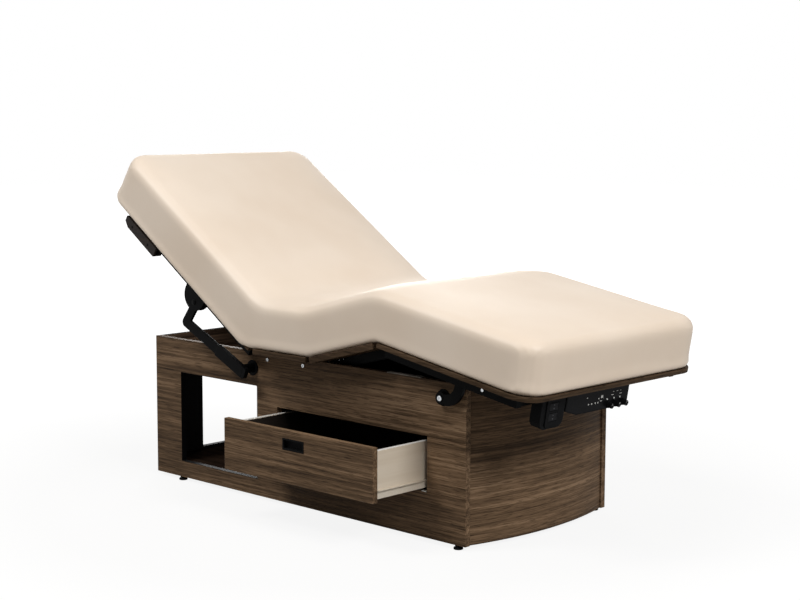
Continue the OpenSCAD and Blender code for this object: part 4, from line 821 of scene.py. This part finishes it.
# Drawer slides
# Roller slides of rolled steel: a plated rail in the cabinet and a cream-coated rail
# under each drawer wall. Each rail has one white nylon roller on a riveted axle.
eased("cabinet_slide_rails", "slide_cabinet_rails", 0.0003, zinc, "cabinet", steps=1)

# Cream powder coat: satin, with a slight orange peel like the black one's.
cream_coat = mottled("cream_powder_coat", 400, 1, (0.3, "#d6cab8"), (0.7, "#e0d6c6"), 0.4, gloss=0.4,
                     relief=(0.12, 0.0004))
eased("drawer_slide_rails", "slide_drawer_rails", 0.0003, cream_coat, "drawer", steps=1)

# White nylon: milky and waxy, with faint turning marks.
nylon = mottled("white_nylon", 300, 2, (0.3, "#deded8"), (0.7, "#ecece7"), 0.38)
roller_t, bore_r = 0.0070, 0.00256
near_face = [(0.0048, 0), (0.0052, 0.0006), (0.0072, 0.0006), (0.0076, 0), (0.0086, 0), (0.0090, 0.0005)]
far_face = [(r, roller_t - h) for r, h in reversed(near_face)]
roller = [(bore_r, 0), *near_face, *far_face, (bore_r, roller_t), (bore_r, 0)]
roller_z, slide_mid_x = 0.1598, 0.2135
for end, body, x, y in (("front", "mouth_rollers", 0.5032, -0.2767),
                        ("rear", "tail_rollers", 0.5013, -0.0710)):
    both = [turned(roller, shift(start, y, roller_z) @ facing, steps=36)
            for start in (x, 2 * slide_mid_x - x - roller_t)]
    name, node = end + "_slide_rollers", "slide_" + end + "_rollers"
    piece(name, gather(*both), nylon, body, [node])

sill, pad_length, pad_y, pad_t = shift(0, 0, 0.137), 0.018, (-0.3045, -0.290), 0.0024
sill_pads = [plate(round_box((x, x + pad_length), pad_y, 0.0015, 3), pad_t, sill, soft=0.0005)
             for x in (0.491, -0.082)]
piece("drawer_sill_glides", gather(*sill_pads), nylon, "cabinet")

slide_screw = [(0, 0.0009), (0.0024, 0.0009), (0.0034, 0.0004), (0.0036, 0), (0, 0)]
rail_screws = []
for x, turn in ((0.5105, -math.pi / 2), (-0.0835, math.pi / 2)):
    for y in (-0.235, -0.060, 0.115):
        on_rail = shift(x, y, 0.168) @ Matrix.Rotation(turn, 4, "Y")
        rail_screws.append(turned(slide_screw, on_rail, steps=16))
piece("cabinet_slide_screws", gather(*rail_screws), zinc, "cabinet")


# Mattress
# One slab of upholstery foam, 150 mm thick, in a single seamless cover of cream vinyl that
# is stapled under the boards. It lies over all four boards, bends where they are hinged and
# hangs 19 mm over the back board's edge.

# Upholstery vinyl: calendered PVC on a knit back. It gives a soft wide highlight over a
# fine leather-like pebble, drawn 2 mm apart, with slow ripples where the foam gives.
vinyl, tree, shader, where = new_material("cream_upholstery_vinyl", roughness=0.5)
cloudy = add(tree, "TexNoise", {"Vector": where, "Scale": 3.0, "Detail": 3.0}).outputs["Fac"]
add(tree, "ValToRGB", {"Fac": cloudy}, ((0.35, "#efdcc7"), (0.65, "#f5e4d1")), shader.inputs["Base Color"])
pebble = add(tree, "TexVoronoi", {"Vector": where, "Scale": 480.0}, feature="DISTANCE_TO_EDGE")
ripple = add(tree, "TexNoise", {"Vector": where, "Scale": 18.0, "Detail": 2.0})
pebble_bump = {"Height": pebble.outputs["Distance"], "Strength": 0.06, "Distance": 0.0006}
ripple_bump = {"Height": ripple.outputs["Fac"], "Strength": 0.05, "Distance": 0.004}
ripple_bump["Normal"] = add(tree, "Bump", pebble_bump).outputs["Normal"]
add(tree, "Bump", ripple_bump, feeds=shader.inputs["Normal"])
shader.inputs["Sheen Weight"].default_value = 0.08
shader.inputs["Sheen Roughness"].default_value = 0.4

# The slab is built flat, puffed by a short cloth simulation, bent into the photographed
# position and cut in mid-seat and mid-thigh, so that each piece holds the bend at one hinge only.
knee_flat_x = hip_hinge.x + thigh_length
back_length, leg_length = 0.798, 0.542
slab_head_x = back_hinge.x - back_length
slab_foot_x = knee_flat_x + leg_length
slab_half_width = 0.381
slab_thickness = 0.150
slab_corner_radius = 0.075
slab_top_radius = 0.034
slab_foot_radius = 0.010
slab_slack = 0.004
hem_drop, hem_slant = 0.019, 0.045


def round_rim(made, at_height, radius, steps):
    """Rounds the edges of the flat face at a height."""
    level = [e for e in made.edges if all(abs(v.co.z - at_height) < 1e-5 for v in e.verts)]
    round_edges(made, [e for e in level if e.calc_face_angle(0) > 0.5], radius, steps)


def sliced(made, point, normal, **kept):
    """Cuts a shape along a plane."""
    everything = made.verts[:] + made.edges[:] + made.faces[:]
    bmesh.ops.bisect_plane(made, geom=everything, plane_co=point, plane_no=normal, **kept)


slab = bmesh.new()
slab_size = Vector((slab_foot_x - slab_head_x, 2 * slab_half_width, slab_thickness))
slab_size -= Vector((2, 2, 1)) * slab_slack
slab_middle = Vector(((slab_foot_x + slab_head_x) / 2, 0, (slab_thickness - slab_slack) / 2))
slab_place = Matrix.Translation(slab_middle) @ Matrix.Diagonal(slab_size).to_4x4()
bmesh.ops.create_cube(slab, size=1, matrix=slab_place)
uprights = [e for e in slab.edges if abs(e.verts[0].co.z - e.verts[1].co.z) > 0.1]
round_edges(slab, uprights, slab_corner_radius, 7)
round_rim(slab, slab_thickness - slab_slack, slab_top_radius, 6)
round_rim(slab, 0.0, slab_foot_radius, 3)
lengthwise = Vector((1, 0, 0))
for x in (back_hinge.x - hem_slant, back_hinge.x):
    sliced(slab, (x, 0, 0), lengthwise)
for vert in slab.verts:
    if vert.co.z < slab_foot_radius + 0.0005:
        vert.co.z -= hem_drop * min(max((back_hinge.x - vert.co.x) / hem_slant, 0), 1)
mattress = in_scene("mattress", slab)


def apply_modifiers(obj):
    """Replaces the object's mesh by what its modifiers make of it."""
    evaluated = obj.evaluated_get(bpy.context.evaluated_depsgraph_get())
    baked = bpy.data.meshes.new_from_object(evaluated)
    obj.modifiers.clear()
    obj.data = baked


def hem_at(x):
    """Height of the slab's underside, which drops over the back board's edge."""
    return -hem_drop * np.clip((back_hinge.x - x) / hem_slant, 0, 1)


remesh = mattress.modifiers.new("even_skin", "REMESH")
remesh.mode = "VOXEL"
remesh.voxel_size = 0.012
apply_modifiers(mattress)
before_puff = np.array([v.co for v in mattress.data.vertices])
glue_height, fade_height, puff_cap = 0.006, 0.065, 0.004
held = mattress.vertex_groups.new(name="held")
glued = np.flatnonzero(before_puff[:, 2] < hem_at(before_puff[:, 0]) + glue_height)
held.add(glued.tolist(), 1.0, "REPLACE")
cover = mattress.modifiers.new("cover", "CLOTH")
stiffness = {"tension_stiffness": 30, "compression_stiffness": 30, "shear_stiffness": 20}
pressure = {"use_pressure": True, "uniform_pressure_force": 4}
cloth = {"vertex_group_mass": "held", "quality": 4, "mass": 0.4, "bending_stiffness": 4}
for key, value in {**cloth, **stiffness, **pressure}.items():
    setattr(cover.settings, key, value)
cover.settings.effector_weights.gravity = 0
for step in range(1, 21):
    bpy.context.scene.frame_set(step)
apply_modifiers(mattress)
bpy.context.scene.frame_set(1)
moved = np.array([v.co for v in mattress.data.vertices]) - before_puff
# The pull fades out towards the stapled edge, so no crease runs along it.
rise = np.clip((before_puff[:, 2] - hem_at(before_puff[:, 0])) / fade_height, 0, 1)
moved *= (rise * rise * (3 - 2 * rise))[:, None]
travel = np.linalg.norm(moved, axis=1)
puffed = before_puff + moved * (np.minimum(travel, puff_cap) / np.maximum(travel, 1e-9))[:, None]
mattress.data.vertices.foreach_set("co", puffed.astype(np.float32).ravel())

# The top crowns by a few millimetres towards its middle line.
crown, side_slope, end_run = 0.006, 2.4, 0.16
flat = np.array([v.co for v in mattress.data.vertices])
share = np.clip(1 - np.abs(flat[:, 1]) / slab_half_width, 0, 1)
end_gap = np.minimum(flat[:, 0] - slab_head_x, slab_foot_x - flat[:, 0])
share = np.clip(np.minimum(share * side_slope, end_gap / end_run), 0, 1)
height_share = np.clip(flat[:, 2] / slab_thickness, 0, 1)
flat[:, 2] += crown * (share * share * (3 - 2 * share)) * height_share ** 2 - crown * height_share ** 2
board_gap = 0.0004
flat[:, 2] = np.maximum(flat[:, 2], hem_at(flat[:, 0]) + board_gap)


def fold(flat, hinge_x, turn, reach, radius):
    """Bends the flat slab about a hinge line. turn is positive where the fold is hollow on
    top; a layer at height h keeps to its offset from the boards, with a rounded corner."""
    u = flat[:, 0] - hinge_x
    h = flat[:, 2] + pin_drop
    half = turn / 2
    round_r = 0.004 + radius * np.clip(h / (slab_thickness + pin_drop), 0, 1) ** 1.5
    straight = reach - h * math.tan(half) - round_r * abs(math.tan(half))
    bend = round_r * abs(turn)
    along = np.clip((u + reach) / (2 * reach), 0, 1) * (2 * straight + bend)
    angle = np.clip((along - straight) / bend, 0, 1) * turn
    side = 1.0 if turn > 0 else -1.0
    bent = along >= straight
    x = np.where(bent, straight - reach + round_r * np.sin(np.abs(angle)), along - reach)
    z = np.where(bent, h + side * round_r * (1 - np.cos(angle)), h)
    past = np.maximum(along - straight - bend, 0) + np.maximum(u - reach, 0)
    before = u <= -reach
    x = np.where(before, u, x + past * math.cos(turn))
    z = np.where(before, h, z + past * math.sin(turn))
    return x, z


# The foot half is bent towards +X and the head half, mirrored, towards -X.
folded = flat.copy()
leg_x, leg_z = fold(flat, knee_flat_x, -(thigh_rise + leg_fall), reach=0.125, radius=0.22)
leg_side = np.column_stack([leg_x + thigh_length + hip_hinge.x, flat[:, 1], leg_z - pin_drop])
hip_x, hip_z = fold(leg_side, hip_hinge.x, thigh_rise, reach=0.09, radius=0.2)
mirrored = flat * (-1, 1, 1)
head_x, head_z = fold(mirrored, -back_hinge.x, back_rise, reach=0.15, radius=0.2)
seat_cut_x = (back_hinge.x + hip_hinge.x) / 2 + 0.03
towards_foot = flat[:, 0] > seat_cut_x
folded[:, 0] = np.where(towards_foot, hip_x + hip_hinge.x, back_hinge.x - head_x)
folded[:, 2] = np.where(towards_foot, hip_z, head_z) + back_hinge.z
mattress.data.vertices.foreach_set("co", folded.astype(np.float32).ravel())
mattress.data.update()
smoother = mattress.modifiers.new("cover_smooth", "SUBSURF")
smoother.levels = smoother.render_levels = 1
apply_modifiers(mattress)

# The hollow that the back board fills, cut out from below; crosswise cuts in it add edge
# loops across the underside.
board_half, board_end, board_corner, cut_depth = 0.3663, -0.7833, 0.0573, 0.030
recess_outline = round_box((board_end, hem_slant), (-board_half, board_half), board_corner, 6)
recess = plate(recess_outline, cut_depth + board_gap, shift(0, 0, -cut_depth), soft=0)
for x in np.arange(-0.100, 0.030, 0.0125):
    sliced(recess, (x, 0, 0), lengthwise)
bmesh.ops.transform(recess, matrix=back_at, verts=recess.verts[:])
cutter = in_scene("board_recess", recess)
hollow = mattress.modifiers.new("board_hollow", "BOOLEAN")
hollow.operation = "DIFFERENCE"
hollow.solver = "EXACT"
hollow.object = cutter
apply_modifiers(mattress)
bpy.data.objects.remove(cutter)

mid_seat = Vector((seat_cut_x, 0, 0))
mid_thigh = (hip_hinge + knee_hinge) / 2
thigh_way = (knee_hinge - hip_hinge).normalized()
knee_mean = (thigh_rise - leg_fall) / 2
back_way = Vector((math.cos(back_rise / 2), 0, -math.sin(back_rise / 2)))
hip_way = Vector((math.cos(thigh_rise / 2), 0, math.sin(thigh_rise / 2)))
knee_way = Vector((math.cos(knee_mean), 0, math.sin(knee_mean)))

# Each pad: its cuts, with True where the side before the cut is kept, the two bodies that it
# joins, the hinge, the way over it, how far the bend reaches each way, and its nodes.
seat_before, seat_after = (mid_seat, lengthwise, True), (mid_seat, lengthwise, False)
thigh_before, thigh_after = (mid_thigh, thigh_way, True), (mid_thigh, thigh_way, False)
pads = (
    ("mattress_back_part", [seat_before], ("back_section", "cabinet"),
     back_hinge, back_way, 0.075, ["back_cushion"]),
    ("mattress_seat_part", [seat_after, thigh_before], ("cabinet", "thigh_section"),
     hip_hinge, hip_way, 0.06, ["seat_cushion", "thigh_cushion"]),
    ("mattress_leg_part", [thigh_after], ("thigh_section", "leg_section"),
     knee_hinge, knee_way, 0.07, ["leg_cushion"]),
)
for name, cuts, bodies, hinge, way, reach, nodes in pads:
    part = bmesh.new()
    part.from_mesh(mattress.data)
    for point, normal, keep_before in cuts:
        sliced(part, point, normal, clear_outer=keep_before, clear_inner=not keep_before)
        bmesh.ops.holes_fill(part, edges=[e for e in part.edges if e.is_boundary], sides=0)
    for face in part.faces:
        face.smooth = len(face.verts) < 8
    pad = in_scene(name, part)
    pad.data.materials.append(vinyl)
    pad.data.set_sharp_from_angle(angle=0.9)
    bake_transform(pad)
    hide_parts(*nodes)
bpy.data.objects.remove(mattress)
